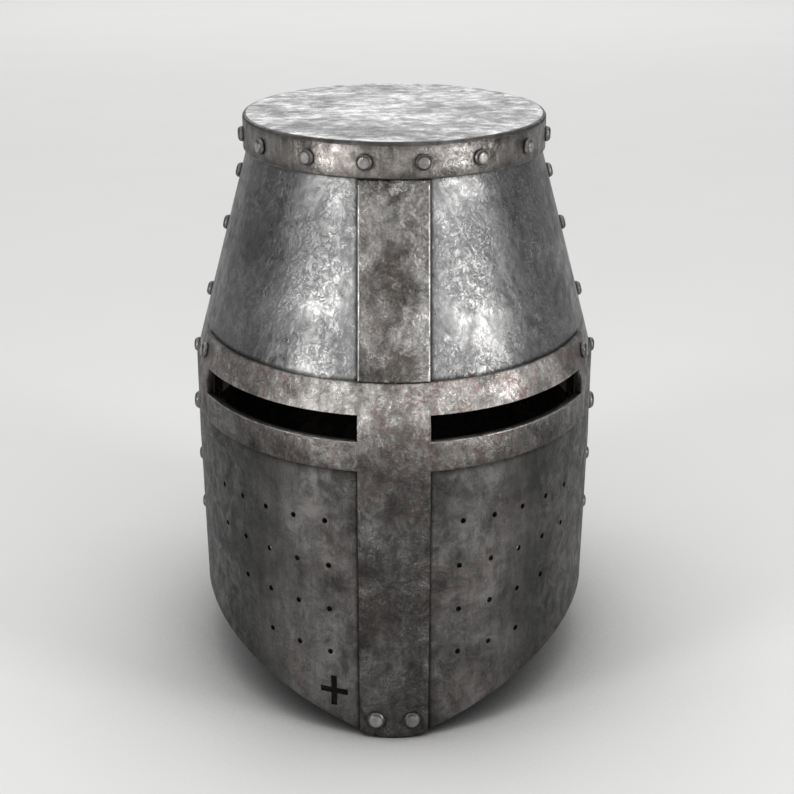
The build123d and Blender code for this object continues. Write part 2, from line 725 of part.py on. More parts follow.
nodes = {
    "top_plate": top_plate,
    "skull_front_plate": skull_front_plate,
    "skull_rear_plate": skull_rear_plate,
    "face_plate": face_plate,
    "nape_plate": nape_plate,
    "cross_plate": cross_plate,
    "upper_strip": upper_strip,
    "flange_rivets": flange_rivets,
    "right_skull_rivets": right_skull_rivets,
    "left_skull_rivets": left_skull_rivets,
    "brow_rivets": brow_rivets,
    "right_seam_rivets": right_seam_rivets,
    "left_seam_rivets": left_seam_rivets,
    "rear_lap_rivets": rear_lap_rivets,
    "foot_rivets": foot_rivets,
    "strip_rivets": strip_rivets,
    "cross_plate_rivets": cross_plate_rivets,
    "liner_rivets": liner_rivets,
    "liner_band": liner_band,
    "brow_pad": brow_pad,
    "left_temple_pad": left_temple_pad,
    "right_temple_pad": right_temple_pad,
    "nape_pad": nape_pad,
    "crown_pad": crown_pad,
    "strap_spacers": strap_spacers,
    "strap_roves": strap_roves,
    "strap_rivets": strap_rivets,
    "left_chin_strap": left_chin_strap,
    "right_chin_strap": right_chin_strap,
    "buckle_frame": buckle_frame,
    "buckle_tongue": buckle_tongue,
}

os.makedirs("parts", exist_ok=True)
for node_name, node in nodes.items():
    node.part.label = node_name
    export_step(node.part, f"parts/{node_name}.step")
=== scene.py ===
import math

import bmesh
import bpy
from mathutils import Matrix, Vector, noise


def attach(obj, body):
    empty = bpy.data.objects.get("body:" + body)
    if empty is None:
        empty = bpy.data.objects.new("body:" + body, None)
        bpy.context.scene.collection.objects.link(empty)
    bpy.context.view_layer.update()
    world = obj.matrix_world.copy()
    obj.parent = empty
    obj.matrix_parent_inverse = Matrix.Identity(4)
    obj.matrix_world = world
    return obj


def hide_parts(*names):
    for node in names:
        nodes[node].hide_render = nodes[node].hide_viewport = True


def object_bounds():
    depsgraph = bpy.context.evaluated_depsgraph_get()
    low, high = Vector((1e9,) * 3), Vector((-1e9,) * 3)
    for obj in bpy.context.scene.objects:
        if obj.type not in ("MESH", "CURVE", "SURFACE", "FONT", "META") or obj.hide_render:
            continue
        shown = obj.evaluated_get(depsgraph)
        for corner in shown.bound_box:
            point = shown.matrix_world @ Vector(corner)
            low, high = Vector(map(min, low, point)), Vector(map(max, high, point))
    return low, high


# Great helm of riveted steel plate. Sizes are in millimetres, and points are scaled to metres when a
# mesh is made. +Z is up, the face looks along -Y, and the wearer's left side is at +X.
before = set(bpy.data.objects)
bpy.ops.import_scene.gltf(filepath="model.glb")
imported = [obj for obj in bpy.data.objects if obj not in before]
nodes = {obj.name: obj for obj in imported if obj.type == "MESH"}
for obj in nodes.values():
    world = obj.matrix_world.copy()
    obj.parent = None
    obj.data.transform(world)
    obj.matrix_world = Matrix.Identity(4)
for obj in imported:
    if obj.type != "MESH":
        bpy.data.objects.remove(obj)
cad_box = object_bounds()
MM = 0.001
UP = Vector((0, 0, 1))

# Shell
WALL = 1.8  # thickness of the plates
LAP_GAP = 0.15  # air between two plates
LAYER = WALL + LAP_GAP
HEIGHT = cad_box[1].z / MM
HALF_WIDTH = 111.6  # outside of the face plate at the sides
HALF_DEPTH = 141.0  # outside of the face plate at the front
REAR_HALF_DEPTH = 142.35  # outside of the nape plate at the back
OVERRUN = 6.0  # the walls' lines run on this far below the floor
SKIRT = 125.05  # height where the lower plates start to narrow
SKIRT_TAPER = 2.4  # how much narrower they are on each side at the bottom
BEND = 179.61  # height where the skull's cone starts
NECK = 286.0  # height where the cone ends in the upright neck
NECK_HALF_WIDTH = 80.4
NECK_HALF_DEPTH = 100.5
MARGIN = 22.0  # the skull plates reach down this far behind the lower plates
FEATHER = 0.35  # thickness left at the filed top edge of the lower plates
SEAM_LAP = 7.0  # the front and rear plates overlap this far past the side seam

# Lower edge
TIP_RADIUS = 54.0
EDGE_ANGLE = math.radians(20.9)
EDGE_CORNER_PLACE = 0.976 * HALF_WIDTH
EDGE_CORNER = 23.0
TIP_DROP = TIP_RADIUS * (1 / math.cos(EDGE_ANGLE) - 1)
SIDE_EDGE = EDGE_CORNER_PLACE * math.tan(EDGE_ANGLE) - TIP_DROP
REAR_LEVEL_HALF = 0.556 * HALF_WIDTH
REAR_RISE = 0.358 * HALF_WIDTH
REAR_CORNER = 30.0

# Top plate, cross plate, strip
FLANGE_LOW = 286.6
SHOULDER = 2.0
LIP = 0.9
STRIP_HALF = 18.0
ARM_TOP = 193.3
ARM_LOW = 149.5
ARM_END = 50.0
STRIP_WALL = 1.6

# Sights, breath holes, cross-shaped cut-out
SIGHT_LOW = 165.1
SIGHT_HIGH = 178.2
SIGHT_ANGLE = math.radians(61.5)
SIGHT_MARGIN = 3.0
BREATH_RADIUS = 1.5
BREATH_TOP = 120.2
BREATH_PITCH = 24.5
BREATH_START = 17.4
BREATH_STEP = 9.1
BREATH_TOP_LEAD = 0.8
BREATH_COUNTS = (5, 5, 4, 3)
BREATH_RISE_SHARES = (-0.02, 0.01, 0.04, 0.065)
TOGGLE_ANGLE = -16.6
TOGGLE_HEIGHT = 24.1
TOGGLE_TALL = 17.2
TOGGLE_WIDE = 15.2
TOGGLE_ARM = 3.3

# Mesh grain
CELL = 2.6  # longest side of a plate's cells
TURN = math.radians(1.3)  # widest cell round the helm
HAIR = 0.2  # where two lines of a grid would lie closer, they are one
CUT_REACH = 4 * WALL  # how far a cutter stands out on both sides of a wall

# Profiles are lists of (height, half width, front half depth, rear half depth)
MARGIN_SIZES = (HALF_WIDTH - LAYER, HALF_DEPTH - LAYER, REAR_HALF_DEPTH)
CONE_SLOPE = (MARGIN_SIZES[0] - NECK_HALF_WIDTH) / (NECK - BEND)
TAPER_LOW = NECK - (HALF_WIDTH - NECK_HALF_WIDTH) / CONE_SLOPE
TAPER_HIGH = NECK - (HALF_WIDTH - WALL + FEATHER - NECK_HALF_WIDTH) / CONE_SLOPE
NECK_TOP = HEIGHT - WALL - 0.2


def inset(profile, amount):
    """The same wall, moved in by an amount."""
    return [(z, a - amount, front - amount, rear - amount) for z, a, front, rear in profile]


SKULL = [
    (BEND - MARGIN, *MARGIN_SIZES),
    (BEND, *MARGIN_SIZES),
    (NECK, NECK_HALF_WIDTH, NECK_HALF_DEPTH, NECK_HALF_DEPTH),
    (NECK_TOP, NECK_HALF_WIDTH, NECK_HALF_DEPTH, NECK_HALF_DEPTH),
]
REAR_SKULL = inset(SKULL, LAYER)
LOWER_SIZES = (HALF_WIDTH, HALF_DEPTH, REAR_HALF_DEPTH + LAYER)
FACE = [
    (-OVERRUN, HALF_WIDTH - SKIRT_TAPER, *LOWER_SIZES[1:]),
    (SKIRT, *LOWER_SIZES),
    (TAPER_LOW, *LOWER_SIZES),
    (TAPER_HIGH, *[size - WALL + FEATHER for size in LOWER_SIZES]),
]


def sizes_at(profile, z):
    """Half width, front and rear half depth of a wall at a height."""
    for low, high in zip(profile, profile[1:]):
        if z <= high[0]:
            break
    share = (z - low[0]) / (high[0] - low[0])
    return [low[i] + share * (high[i] - low[i]) for i in (1, 2, 3)]


CROSS = [
    *inset(FACE[:-1], -LAYER),
    (BEND, *LOWER_SIZES),
    (ARM_TOP, *[size + LAYER for size in sizes_at(SKULL, ARM_TOP)]),
]


def ring_point(sizes, turn, z):
    """A point on a ring; the turn is counted from the front."""
    across, front, rear = sizes
    ahead = math.cos(turn)
    return Vector((across * math.sin(turn), -(front if ahead >= 0 else rear) * ahead, z))


def ring_normal(sizes, turn):
    """The level direction square to a ring."""
    across, front, rear = sizes
    ahead = math.cos(turn)
    return Vector((math.sin(turn) / across, -ahead / (front if ahead >= 0 else rear), 0)).normalized()


def lines(keys, step):
    """Grid lines through the keys, no further apart than a step."""
    found = [keys[0]]
    for low, high in zip(keys, keys[1:]):
        count = max(1, math.ceil((high - low) / step - 1e-6))
        found += [low + (high - low) * i / count for i in range(1, count + 1)]
    return found


FLUSH_RIVETS = [ring_point(sizes_at(CROSS, z), math.radians(turn), z)
                for turn, z in ((0, 270.0), (0, 238.0), (0, 205.0), (0, 170.0), (0, 122.0), (0, 62.0),
                                (-50, 157.0), (-28, 157.0), (28, 157.0), (50, 157.0))]


def dent(point):
    """How far the hammered plates stand in or out at a point, in millimetres. All layers share it."""
    near = min((point.xz - place.xz).length for place in FLUSH_RIVETS)
    calm = min(1.0, max(0.0, (near - 3) / 8)) if point.y < 0 else 1.0
    broad = noise.noise(point / 52)
    blows = noise.noise(point / 19 + Vector((7, 3, 11)))
    planish = noise.noise(point / 9 + Vector((2, 9, 4)))
    return calm * (-0.34 * max(0, broad) + 0.10 * blows + 0.04 * planish)


def front_edge(x):
    """Height of the front plates' lower edge at a distance from the middle."""
    x = abs(x)
    reach = EDGE_CORNER * math.tan(EDGE_ANGLE / 2)
    bend_end = EDGE_CORNER_PLACE + reach
    if x < TIP_RADIUS * math.sin(EDGE_ANGLE):
        return TIP_RADIUS - math.sqrt(TIP_RADIUS ** 2 - x ** 2)
    if x < EDGE_CORNER_PLACE - reach * math.cos(EDGE_ANGLE):
        return x * math.tan(EDGE_ANGLE) - TIP_DROP
    return SIDE_EDGE - EDGE_CORNER + math.sqrt(EDGE_CORNER ** 2 - (x - bend_end) ** 2)


def rear_edge(x):
    """Height of the nape plate's lower edge at a distance from the middle."""
    x = abs(x)
    angle = math.atan2(SIDE_EDGE, REAR_RISE)
    corner = REAR_LEVEL_HALF + REAR_RISE
    reach = REAR_CORNER * math.tan(angle / 2)
    if x < REAR_LEVEL_HALF:
        return 0.0
    if x < corner - reach * math.cos(angle):
        return (x - REAR_LEVEL_HALF) * math.tan(angle)
    if x < corner + reach:
        return SIDE_EDGE - REAR_CORNER + math.sqrt(REAR_CORNER ** 2 - (x - corner - reach) ** 2)
    return SIDE_EDGE


# Materials
RUST = (0.24, 0.13, 0.11)
# Dirt and painted shade in corners and narrow gaps: near-black
DIRT_AND_SHADE = (0.012, 0.011, 0.010)
# Painted shade beside the applied plates' edges: near-black
GROOVE_SHADE = (0.018, 0.016, 0.015)
STAIN_TINT = (1.1, 1.0, 0.9)
HELM_OVAL = (1.57, 1, 0)  # turns a place into the direction square to the helm's oval wall


def feed(socket, value):
    """Links what comes out of another node; anything else becomes the input's own value."""
    if isinstance(value, bpy.types.NodeSocket):
        socket.id_data.links.new(value, socket)
    else:
        socket.default_value = value


def tree_of(name):
    """A new material, its shader, and a function that adds nodes."""
    material = bpy.data.materials.new(name)
    material.use_nodes = True
    tree = material.node_tree

    def add(kind, **values):
        """A node with inputs and settings given by name."""
        node = tree.nodes.new(kind)
        for key, value in values.items():
            if key in node.inputs:
                feed(node.inputs[key], value)
            else:
                setattr(node, key, value)
        return node

    return material, tree.nodes["Principled BSDF"].inputs, add


def noise_at(add, where, scale, detail=3.0, rough=0.55, distort=0.0, stretch=(1, 1, 1), turn=(0, 0, 0),
             move=(0, 0, 0)):
    """Noise in the row frame: scale is in waves per metre, stretch multiplies it along each axis."""
    mapping = add("ShaderNodeMapping", Vector=where, Location=move, Scale=stretch, Rotation=turn)
    return add("ShaderNodeTexNoise", Vector=mapping.outputs["Vector"], Scale=scale, Detail=detail,
               Roughness=rough, Distortion=distort).outputs["Fac"]


def ramp(add, value, stops):
    """A ramp from (place, grey or colour) stops."""
    node = add("ShaderNodeValToRGB", Fac=value)
    elements = node.color_ramp.elements
    while len(elements) < len(stops):
        elements.new(0.5)
    for element, (place, colour) in zip(elements, stops):
        element.position = place
        element.color = (*colour, 1) if hasattr(colour, "__len__") else (colour, colour, colour, 1)
    return node.outputs["Color"]


def math_of(add, operation, a, b=0, clamp=False):
    """A sum of two values, each a socket or a number."""
    node = add("ShaderNodeMath", operation=operation, use_clamp=clamp)
    for socket, value in zip(node.inputs, (a, b)):
        feed(socket, value)
    return node.outputs[0]


def times(add, a, b, clamp=False):
    return math_of(add, "MULTIPLY", a, b, clamp)


def plus(add, a, b, clamp=False):
    return math_of(add, "ADD", a, b, clamp)


def minus(add, a, b, clamp=False):
    return math_of(add, "SUBTRACT", a, b, clamp)


def vector_of(add, operation, *values):
    """What comes out of a sum of vectors."""
    node = add("ShaderNodeVectorMath", operation=operation)
    for socket, value in zip(node.inputs, values):
        feed(socket, value)
    return node.outputs


def mix_colour(add, mode, factor, a, b):
    """A mix of two colours, each a socket or a colour."""
    node = add("ShaderNodeMix", data_type="RGBA", blend_type=mode)
    sockets = [socket for socket in node.inputs if socket.enabled]
    for socket, value in zip(sockets, (factor, a, b)):
        feed(socket, (*value, 1) if isinstance(value, tuple) else value)
    return [socket for socket in node.outputs if socket.enabled][0]


def summed(add, parts):
    """The sum of (share, value) parts."""
    total = None
    for share, value in parts:
        part = times(add, value, share)
        total = part if total is None else plus(add, total, part)
    return total


def crevice(add, reach, low, high):
    """1 in corners and narrow gaps, 0 in the open."""
    node = add("ShaderNodeAmbientOcclusion", samples=5, Distance=reach * MM)
    return ramp(add, node.outputs["AO"], [(low, 1.0), (high, 0.0)])


def outwards(add, places):
    """1 where a rivet's face looks straight out from the helm, less towards its rim."""
    flat = vector_of(add, "MULTIPLY", places.outputs["Object"], HELM_OVAL)[0]
    level = vector_of(add, "NORMALIZE", flat)[0]
    return vector_of(add, "DOT_PRODUCT", level, places.outputs["Normal"])["Value"]


def side_shade_and_wear(add, axes, mottle, far):
    """Lighter beside the middle strip and duller further round: partly the wear of handling and cleaning
    there, partly painted light and painted shade.
    """
    plan = add("ShaderNodeCombineXYZ", X=axes["X"], Y=axes["Y"])
    length = vector_of(add, "LENGTH", plan.outputs[0])["Value"]
    side = math_of(add, "ABSOLUTE", math_of(add, "DIVIDE", axes["X"], length))
    side = plus(add, side, times(add, minus(add, mottle, 0.5), 0.5))
    return ramp(add, side, [(0.08, 0.80), (0.22, 1.0), (0.36, 1.0), (0.58, 0.42), (0.78, 0.46), (0.95, far)])


def steel(name, dark, mid, light, rough=0.42, rust=0.2, wrinkle=0.3, hammer=0.4, pits=0.4, scratch=0.5,
          blotch=0.3, grime_and_shade=0.7, streak=(1, 1, 0.3), contrast=1.0, metallic=1.0, painted_rim_shade=False, polish_and_side_shade=0.0,
          far=0.34, light_by_height=None, groove_shades=(), painted_light_spots=(), spine=0.0, seed=0.0):
    """Old plate: mottled, blotched, streaked, rusty and dirty, with hammer marks, pits and scratches, and
    with painted light and shade.

    far: how light the far sides stay under the painted side shade; lift: (share of the height, gain) stops
    of painted light and shade;
    grooves: (axis, place, width, depth) of dark lines of painted shade; patches: (place, reach, gain) of
    painted highlights and painted shade;
    spine: how much darker the strip's middle is
    """
    material, shader, add = tree_of(name)
    places = add("ShaderNodeTexCoord")
    where = places.outputs["Object"]
    axes = add("ShaderNodeSeparateXYZ", Vector=where).outputs
    aside = math_of(add, "ABSOLUTE", axes["X"])

    def field(scale, detail, grain, distort=0.0, move=(seed, seed * 0.7, seed * 1.3), **more):
        return noise_at(add, where, scale, detail, grain, distort, move=move, **more)

    cloud = field(26, 4, 0.6, 0.6)
    mottle = field(110, 8, 0.72, 0.7)
    streaks = field(170, 5, 0.65, 0.3, stretch=streak)
    grain = field(900, 3, 0.7)
    tone = summed(add, [(0.30, cloud), (0.34, mottle), (0.22, streaks), (0.14, grain)])
    spread = 0.10 / contrast
    colour = ramp(add, tone, [(0.5 - spread, dark), (0.50, mid), (0.5 + spread, light)])

    # Brown-black blotches
    stain = summed(add, [(0.7, field(34, 7, 0.62, 0.9, move=(seed + 5, 2, 1))), (0.3, mottle)])
    if spine:
        middle = ramp(add, times(add, aside, 1 / (STRIP_HALF * MM)), [(0.15, 1.0), (0.75, 0.0)])
        stain = plus(add, stain, times(add, middle, spine))
    stain = ramp(add, stain, [(0.54, 0.0), (0.63, 1.0)])
    colour = mix_colour(add, "MIX", times(add, stain, blotch), colour,
                        tuple(0.30 * tint * warm for tint, warm in zip(dark, STAIN_TINT)))

    # Dark lines of painted shade beside the applied plates' edges, on the front only
    ahead = math_of(add, "LESS_THAN", axes["Y"])
    for axis, place, width, depth in groove_shades:
        level = aside if axis == "X" else axes[axis]
        away = math_of(add, "ABSOLUTE", minus(add, level, place * MM))
        line = ramp(add, times(add, away, 1 / (width * MM)), [(0.25, 1.0), (1.0, 0.0)])
        colour = mix_colour(add, "MIX", times(add, times(add, line, ahead), depth), colour, GROOVE_SHADE)

    # Rust in small groups of specks
    group = field(15, 3, 0.5, 0.3, move=(seed + 3, 1, 2))
    group = ramp(add, group, [(0.50 - 0.07 * rust, 0.0), (0.62 - 0.07 * rust, 1.0)])
    speck = ramp(add, field(190, 6, 0.75, 0.8, move=(seed, 5, 2)), [(0.50, 0.0), (0.66, 1.0)])
    rusty = times(add, times(add, group, speck), rust, clamp=True)
    colour = mix_colour(add, "MIX", rusty, colour, RUST)

    # Dirt and painted shade along the plates' edges and round the rivets, darkest in corners and narrow gaps
    close, wide = crevice(add, 2.2, 0.55, 0.93), crevice(add, 7, 0.35, 0.95)
    dirt_and_shade = times(add, math_of(add, "MAXIMUM", close, times(add, wide, 0.6)), grime_and_shade, clamp=True)
    colour = mix_colour(add, "MIX", dirt_and_shade, colour, DIRT_AND_SHADE)

    # Painted light and shade, and wear: what makes some places lighter or darker
    shares = []
    # Painted shade: a rivet head darker in a ring towards its rim
    if painted_rim_shade:
        facing = outwards(add, places)
        shares.append((1.0, ramp(add, facing, [(0.50, 0.75), (0.72, 0.30), (0.86, 0.35), (0.93, 1.0)])))
    # Painted light and shade round the helm: lighter beside the middle strip, darker further round
    if polish_and_side_shade:
        shares.append((polish_and_side_shade, side_shade_and_wear(add, axes, mottle, far)))
    # Painted light and shade by height, from the stops
    if light_by_height:
        shares.append((1.0, ramp(add, math_of(add, "DIVIDE", axes["Z"], HEIGHT * MM), light_by_height)))
    # Painted highlights in round spots, and painted shade where a gain is below 1
    for place, reach, gain in painted_light_spots:
        away = vector_of(add, "DISTANCE", where, [value * MM for value in place])["Value"]
        share = summed(add, [(1 / (reach * MM), away), (1.2, minus(add, mottle, 0.5))])
        shares.append((1.0, ramp(add, share, [(0.3, gain), (1.0, 1.0)])))
    for factor, share in shares:
        colour = mix_colour(add, "MULTIPLY", factor, colour, share)

    # Relief, in millimetres
    blows = field(58, 2, 0.5, 0.2)
    folds = field(300, 5, 0.62, 1.4, stretch=(1.0, 1.0, 0.6))
    worn = field(430, 4, 0.6, 0.5)
    holes = ramp(add, field(270, 4, 0.6, 0.4, move=(seed, 8, 4)), [(0.30, 0.0), (0.41, 1.0)])
    patch = ramp(add, field(24, 3, 0.6, move=(seed, 3, 9)), [(0.42, 0.15), (0.60, 1.0)])
    cuts = field(260, 2, 0.5, 0.1, stretch=(6, 6, 0.1), turn=(0.5, 0.6, 0))
    cuts = ramp(add, cuts, [(0.31, 0.0), (0.35, 1.0)])
    bent = math_of(add, "ABSOLUTE", minus(add, field(170, 5, 0.62, 1.3), 0.5))
    creases = ramp(add, bent, [(0.0, 1.0), (0.035, 0.0)])
    fine = summed(add, [(1.1 * wrinkle, folds), (0.55 * wrinkle, worn), (0.22 * pits, holes),
                        (0.34 * wrinkle, creases)])
    relief = summed(add, [(2.4 * hammer, blows), (1.0, times(add, fine, patch)), (0.10 * scratch, cuts)])

    shade = ramp(add, mottle, [(0.38, min(1.0, rough + 0.14)), (0.64, max(0.12, rough - 0.10))])
    feed(shader["Base Color"], colour)
    feed(shader["Roughness"], plus(add, shade, times(add, rusty, 0.3), clamp=True))
    feed(shader["Metallic"], minus(add, metallic, times(add, rusty, 0.7), clamp=True))
    feed(shader["Normal"], raised(add, relief, 1.0, 1.0))
    return material


def raised(add, height, strength, depth):
    """Relief from a height; the depth is in millimetres."""
    return add("ShaderNodeBump", Strength=strength, Distance=depth * MM, Height=height).outputs["Normal"]


def cloth(name, dark, light, weave=1400):
    """Undyed linen: crossed threads, soft stains and a little sheen."""
    material, shader, add = tree_of(name)
    where = add("ShaderNodeTexCoord").outputs["Object"]
    colour = ramp(add, noise_at(add, where, 30, 4, 0.6, 0.4), [(0.35, dark), (0.62, light)])
    warp = noise_at(add, where, weave, 1, 0.5, stretch=(1, 1, 0.12))
    weft = noise_at(add, where, weave, 1, 0.5, stretch=(0.12, 0.12, 1))
    threads = math_of(add, "MAXIMUM", warp, weft)
    shaded = ramp(add, threads, [(0.35, 0.62), (0.65, 1.0)])
    feed(shader["Base Color"], mix_colour(add, "MULTIPLY", 1.0, colour, shaded))
    feed(shader["Normal"], raised(add, threads, 0.5, 0.35))
    shader["Roughness"].default_value = 0.92
    shader["Sheen Weight"].default_value = 0.25
    return material


def leather(name, dark, light):
    """Oiled leather: cells of grain, worn lighter patches."""
    material, shader, add = tree_of(name)
    where = add("ShaderNodeTexCoord").outputs["Object"]
    worn = noise_at(add, where, 45, 5, 0.6, 0.5)
    colour = ramp(add, worn, [(0.35, dark), (0.66, light)])
    cells = add("ShaderNodeTexVoronoi", feature="DISTANCE_TO_EDGE", Scale=900, Vector=where)
    crease = ramp(add, cells.outputs["Distance"], [(0.0, 0.0), (0.12, 1.0)])
    darker = ramp(add, crease, [(0.0, 0.55), (1.0, 1.0)])
    feed(shader["Base Color"], mix_colour(add, "MULTIPLY", 1.0, colour, darker))
    feed(shader["Roughness"], ramp(add, worn, [(0.35, 0.5), (0.66, 0.68)]))
    feed(shader["Normal"], raised(add, crease, 0.6, 0.2))
    return material


SKULL_STEEL = steel(
    "skull_steel", (0.21, 0.21, 0.211), (0.34, 0.34, 0.341), (0.52, 0.52, 0.52), rough=0.37, rust=0.1,
    wrinkle=0.5, hammer=0.5, pits=1.0, scratch=0.9, blotch=0.3, contrast=0.9, polish_and_side_shade=1.0, far=0.46,
    groove_shades=[("X", 18.0, 1.8, 0.7), ("Z", 193.3, 2.2, 0.7)], seed=0.13)
# The lower plates' steel is much darker than the skull's: painted shade, which keeps them dark though they
# mirror the pale floor
SHADED_FACE_STEEL = steel(
    "shaded_face_steel", (0.052, 0.051, 0.050), (0.098, 0.096, 0.094), (0.175, 0.17, 0.165), rough=0.44, rust=0.35,
    wrinkle=0.3, hammer=0.3, pits=0.7, scratch=1.0, blotch=0.4, contrast=1.2, polish_and_side_shade=0.9, far=0.2,
    groove_shades=[("X", 18.0, 1.8, 0.7), ("Z", 149.0, 3.5, 0.6)], seed=0.41)
BAND_STEEL = steel(
    "band_steel", (0.13, 0.125, 0.118), (0.29, 0.281, 0.27), (0.50, 0.487, 0.47), rough=0.30, rust=0.3,
    wrinkle=3.0, hammer=0.5, pits=0.8, blotch=0.76, contrast=1.5, spine=0.088,
    painted_light_spots=[((14, -128, 219), 34, 1.45), ((-14, -130, 208), 24, 1.25)], seed=0.77)
CROSS_STEEL = steel(
    "cross_steel", (0.19, 0.181, 0.172), (0.36, 0.345, 0.33), (0.64, 0.62, 0.60), rough=0.33, rust=1.0,
    wrinkle=1.9, hammer=0.5, pits=0.8, blotch=0.8, contrast=1.5, polish_and_side_shade=1.0,
    light_by_height=[(0.0, 0.29), (0.43, 0.31), (0.50, 0.43), (0.545, 0.66), (0.585, 1.33)],
    painted_light_spots=[((50, -127, 187), 50, 1.4), ((98, -58, 187), 34, 0.72)], seed=0.66)
EDGE_STEEL = steel(
    "edge_steel", (0.14, 0.135, 0.13), (0.27, 0.262, 0.255), (0.45, 0.44, 0.43), rough=0.36, rust=0.3,
    hammer=0.2, blotch=0.5, contrast=1.4, seed=0.48)
TOP_STEEL = steel(
    "top_steel", (0.24, 0.24, 0.24), (0.46, 0.46, 0.458), (0.92, 0.92, 0.915), rough=0.38, rust=0.05,
    wrinkle=0.4, pits=0.3, blotch=0.15, streak=(0.45, 1, 1), contrast=1.7, seed=0.29)
FLANGE_STEEL = steel(
    "flange_steel", (0.17, 0.158, 0.146), (0.34, 0.32, 0.30), (0.56, 0.54, 0.52), rough=0.35, rust=0.3,
    wrinkle=0.6, hammer=0.5, blotch=0.8, grime_and_shade=0.85, contrast=1.3, polish_and_side_shade=1.0,
    light_by_height=[(0.9395, 0.35), (0.950, 0.62), (0.963, 1.08), (0.984, 1.08), (0.994, 0.6)], seed=0.53)
# Near-black steel for the top plate's rounded shoulder and lip: painted shade
LIP_SHADE_STEEL = steel(
    "lip_shade_steel", (0.05, 0.048, 0.046), (0.10, 0.097, 0.093), (0.18, 0.175, 0.17), hammer=0.2, blotch=0.4,
    seed=0.35)
WORN_STEEL = steel(
    "worn_steel", (0.30, 0.292, 0.283), (0.50, 0.487, 0.474), (0.75, 0.73, 0.71), rough=0.34, rust=0.1,
    wrinkle=0.25, hammer=0.1, blotch=0.5, grime_and_shade=0.3, contrast=1.6, metallic=0.85, seed=0.61)
INNER_STEEL = steel(
    "inner_steel", (0.012, 0.011, 0.010), (0.028, 0.025, 0.023), (0.055, 0.048, 0.042), rough=0.62, rust=0.5,
    wrinkle=0.4, blotch=0.4, seed=0.22)
RIVET_STEEL = steel(
    "rivet_steel", (0.15, 0.146, 0.142), (0.27, 0.263, 0.256), (0.46, 0.45, 0.44), rough=0.34, wrinkle=0.25,
    hammer=0.2, grime_and_shade=0.95, painted_rim_shade=True, seed=0.91)
FITTING_STEEL = steel(
    "fitting_steel", (0.12, 0.115, 0.11), (0.23, 0.22, 0.21), (0.42, 0.41, 0.40), rough=0.34, wrinkle=0.25,
    hammer=0.2, grime_and_shade=0.8, seed=0.91)
PLATE_STEELS = [WORN_STEEL, INNER_STEEL]  # a plate's rubbed rim and its inside
# The lining's linen is old brown, darkened further as painted shade for the helm's inside
SHADE_DARKENED_LINEN = cloth("linen", (0.085, 0.068, 0.048), (0.21, 0.175, 0.128))
THREAD = cloth("thread", (0.30, 0.25, 0.175), (0.50, 0.43, 0.32), weave=3000)
HIDE = leather("hide", (0.05, 0.026, 0.014), (0.16, 0.085, 0.045))
LEATHERS = [HIDE, HIDE, THREAD]


# Meshes
def placed(name, data):
    """A new object in the scene."""
    thing = bpy.data.objects.new(name, data)
    bpy.context.scene.collection.objects.link(thing)
    return thing


def mesh_of(bm, name):
    """The mesh of a bmesh, in metres."""
    bmesh.ops.scale(bm, vec=(MM, MM, MM), verts=bm.verts)
    mesh = bpy.data.meshes.new(name)
    bm.to_mesh(mesh)
    bm.free()
    return mesh


def smooth(mesh, sharp=40):
    """Smooth shading but for the sharp edges."""
    mesh.shade_smooth()
    mesh.set_sharp_from_angle(angle=math.radians(sharp))


def finish_mesh(bm, name, materials, body, replaced, sharp=40):
    """Makes the piece of a bmesh."""
    mesh = mesh_of(bm, name)
    for material in materials:
        mesh.materials.append(material)
    smooth(mesh, sharp)
    piece = placed(name, mesh)
    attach(piece, body)
    if replaced:
        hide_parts(*replaced)
    return piece


def skinned(outer, inner, kept=lambda i, j: True, rim=0.5, worn=lambda p: False, behind=2):
    """A plate between two grids of points, its outer rim rounded, and of the rim's steel where worn says so.

    behind: the material slot of its inside
    """
    bm = bmesh.new()
    corners = {}

    def corner(side, i, j):
        key = (side, i, j)
        if key not in corners:
            corners[key] = bm.verts.new((outer, inner)[side][i][j])
        return corners[key]

    columns, rows = len(outer) - 1, len(outer[0]) - 1
    holds = [[kept(i, j) for j in range(rows)] for i in range(columns)]

    def is_held(i, j):
        return 0 <= i < columns and 0 <= j < rows and holds[i][j]

    rims = []
    for i in range(columns):
        for j in range(rows):
            if not holds[i][j]:
                continue
            square = [(i, j), (i + 1, j), (i + 1, j + 1), (i, j + 1)]
            bm.faces.new([corner(0, *p) for p in square])
            bm.faces.new([corner(1, *p) for p in reversed(square)]).material_index = behind
            sides = (((i, j - 1), 0), ((i + 1, j), 1), ((i, j + 1), 2), ((i - 1, j), 3))
            for neighbour, k in sides:
                if not is_held(*neighbour):
                    a, b = square[k], square[(k + 1) % 4]
                    bm.faces.new([corner(0, *b), corner(0, *a), corner(1, *a), corner(1, *b)])
                    rims.append((a, b))
    bm.normal_update()
    edges = [bm.edges.get((corner(0, *a), corner(0, *b))) for a, b in rims]
    made = bmesh.ops.bevel(bm, geom=edges, offset=rim, segments=3, profile=0.5, affect="EDGES",
                           clamp_overlap=True)
    for face in made["faces"]:
        face.material_index = int(worn(face.calc_center_median()))
    bmesh.ops.recalc_face_normals(bm, faces=bm.faces)
    return bm


def plate(name, node, finish, grids, replaced=True, **more):
    """The skin of a steel plate; finish is the steel of its outside, or of its outside and its rim."""
    steels = [finish, *PLATE_STEELS] if not isinstance(finish, list) else [*finish, INNER_STEEL]
    return finish_mesh(skinned(*grids, **more), name, steels, "shell", [node] if replaced else [])


def both_grids(columns, rows, pair):
    """Grids of outer and inner points: pair gives both at a column and a row.

    rows: a list, or a function of the column
    """
    pairs = [[pair(column, row) for row in (rows(column) if callable(rows) else rows)]
             for column in columns]
    return [[[points[side] for points in line] for line in pairs] for side in (0, 1)]


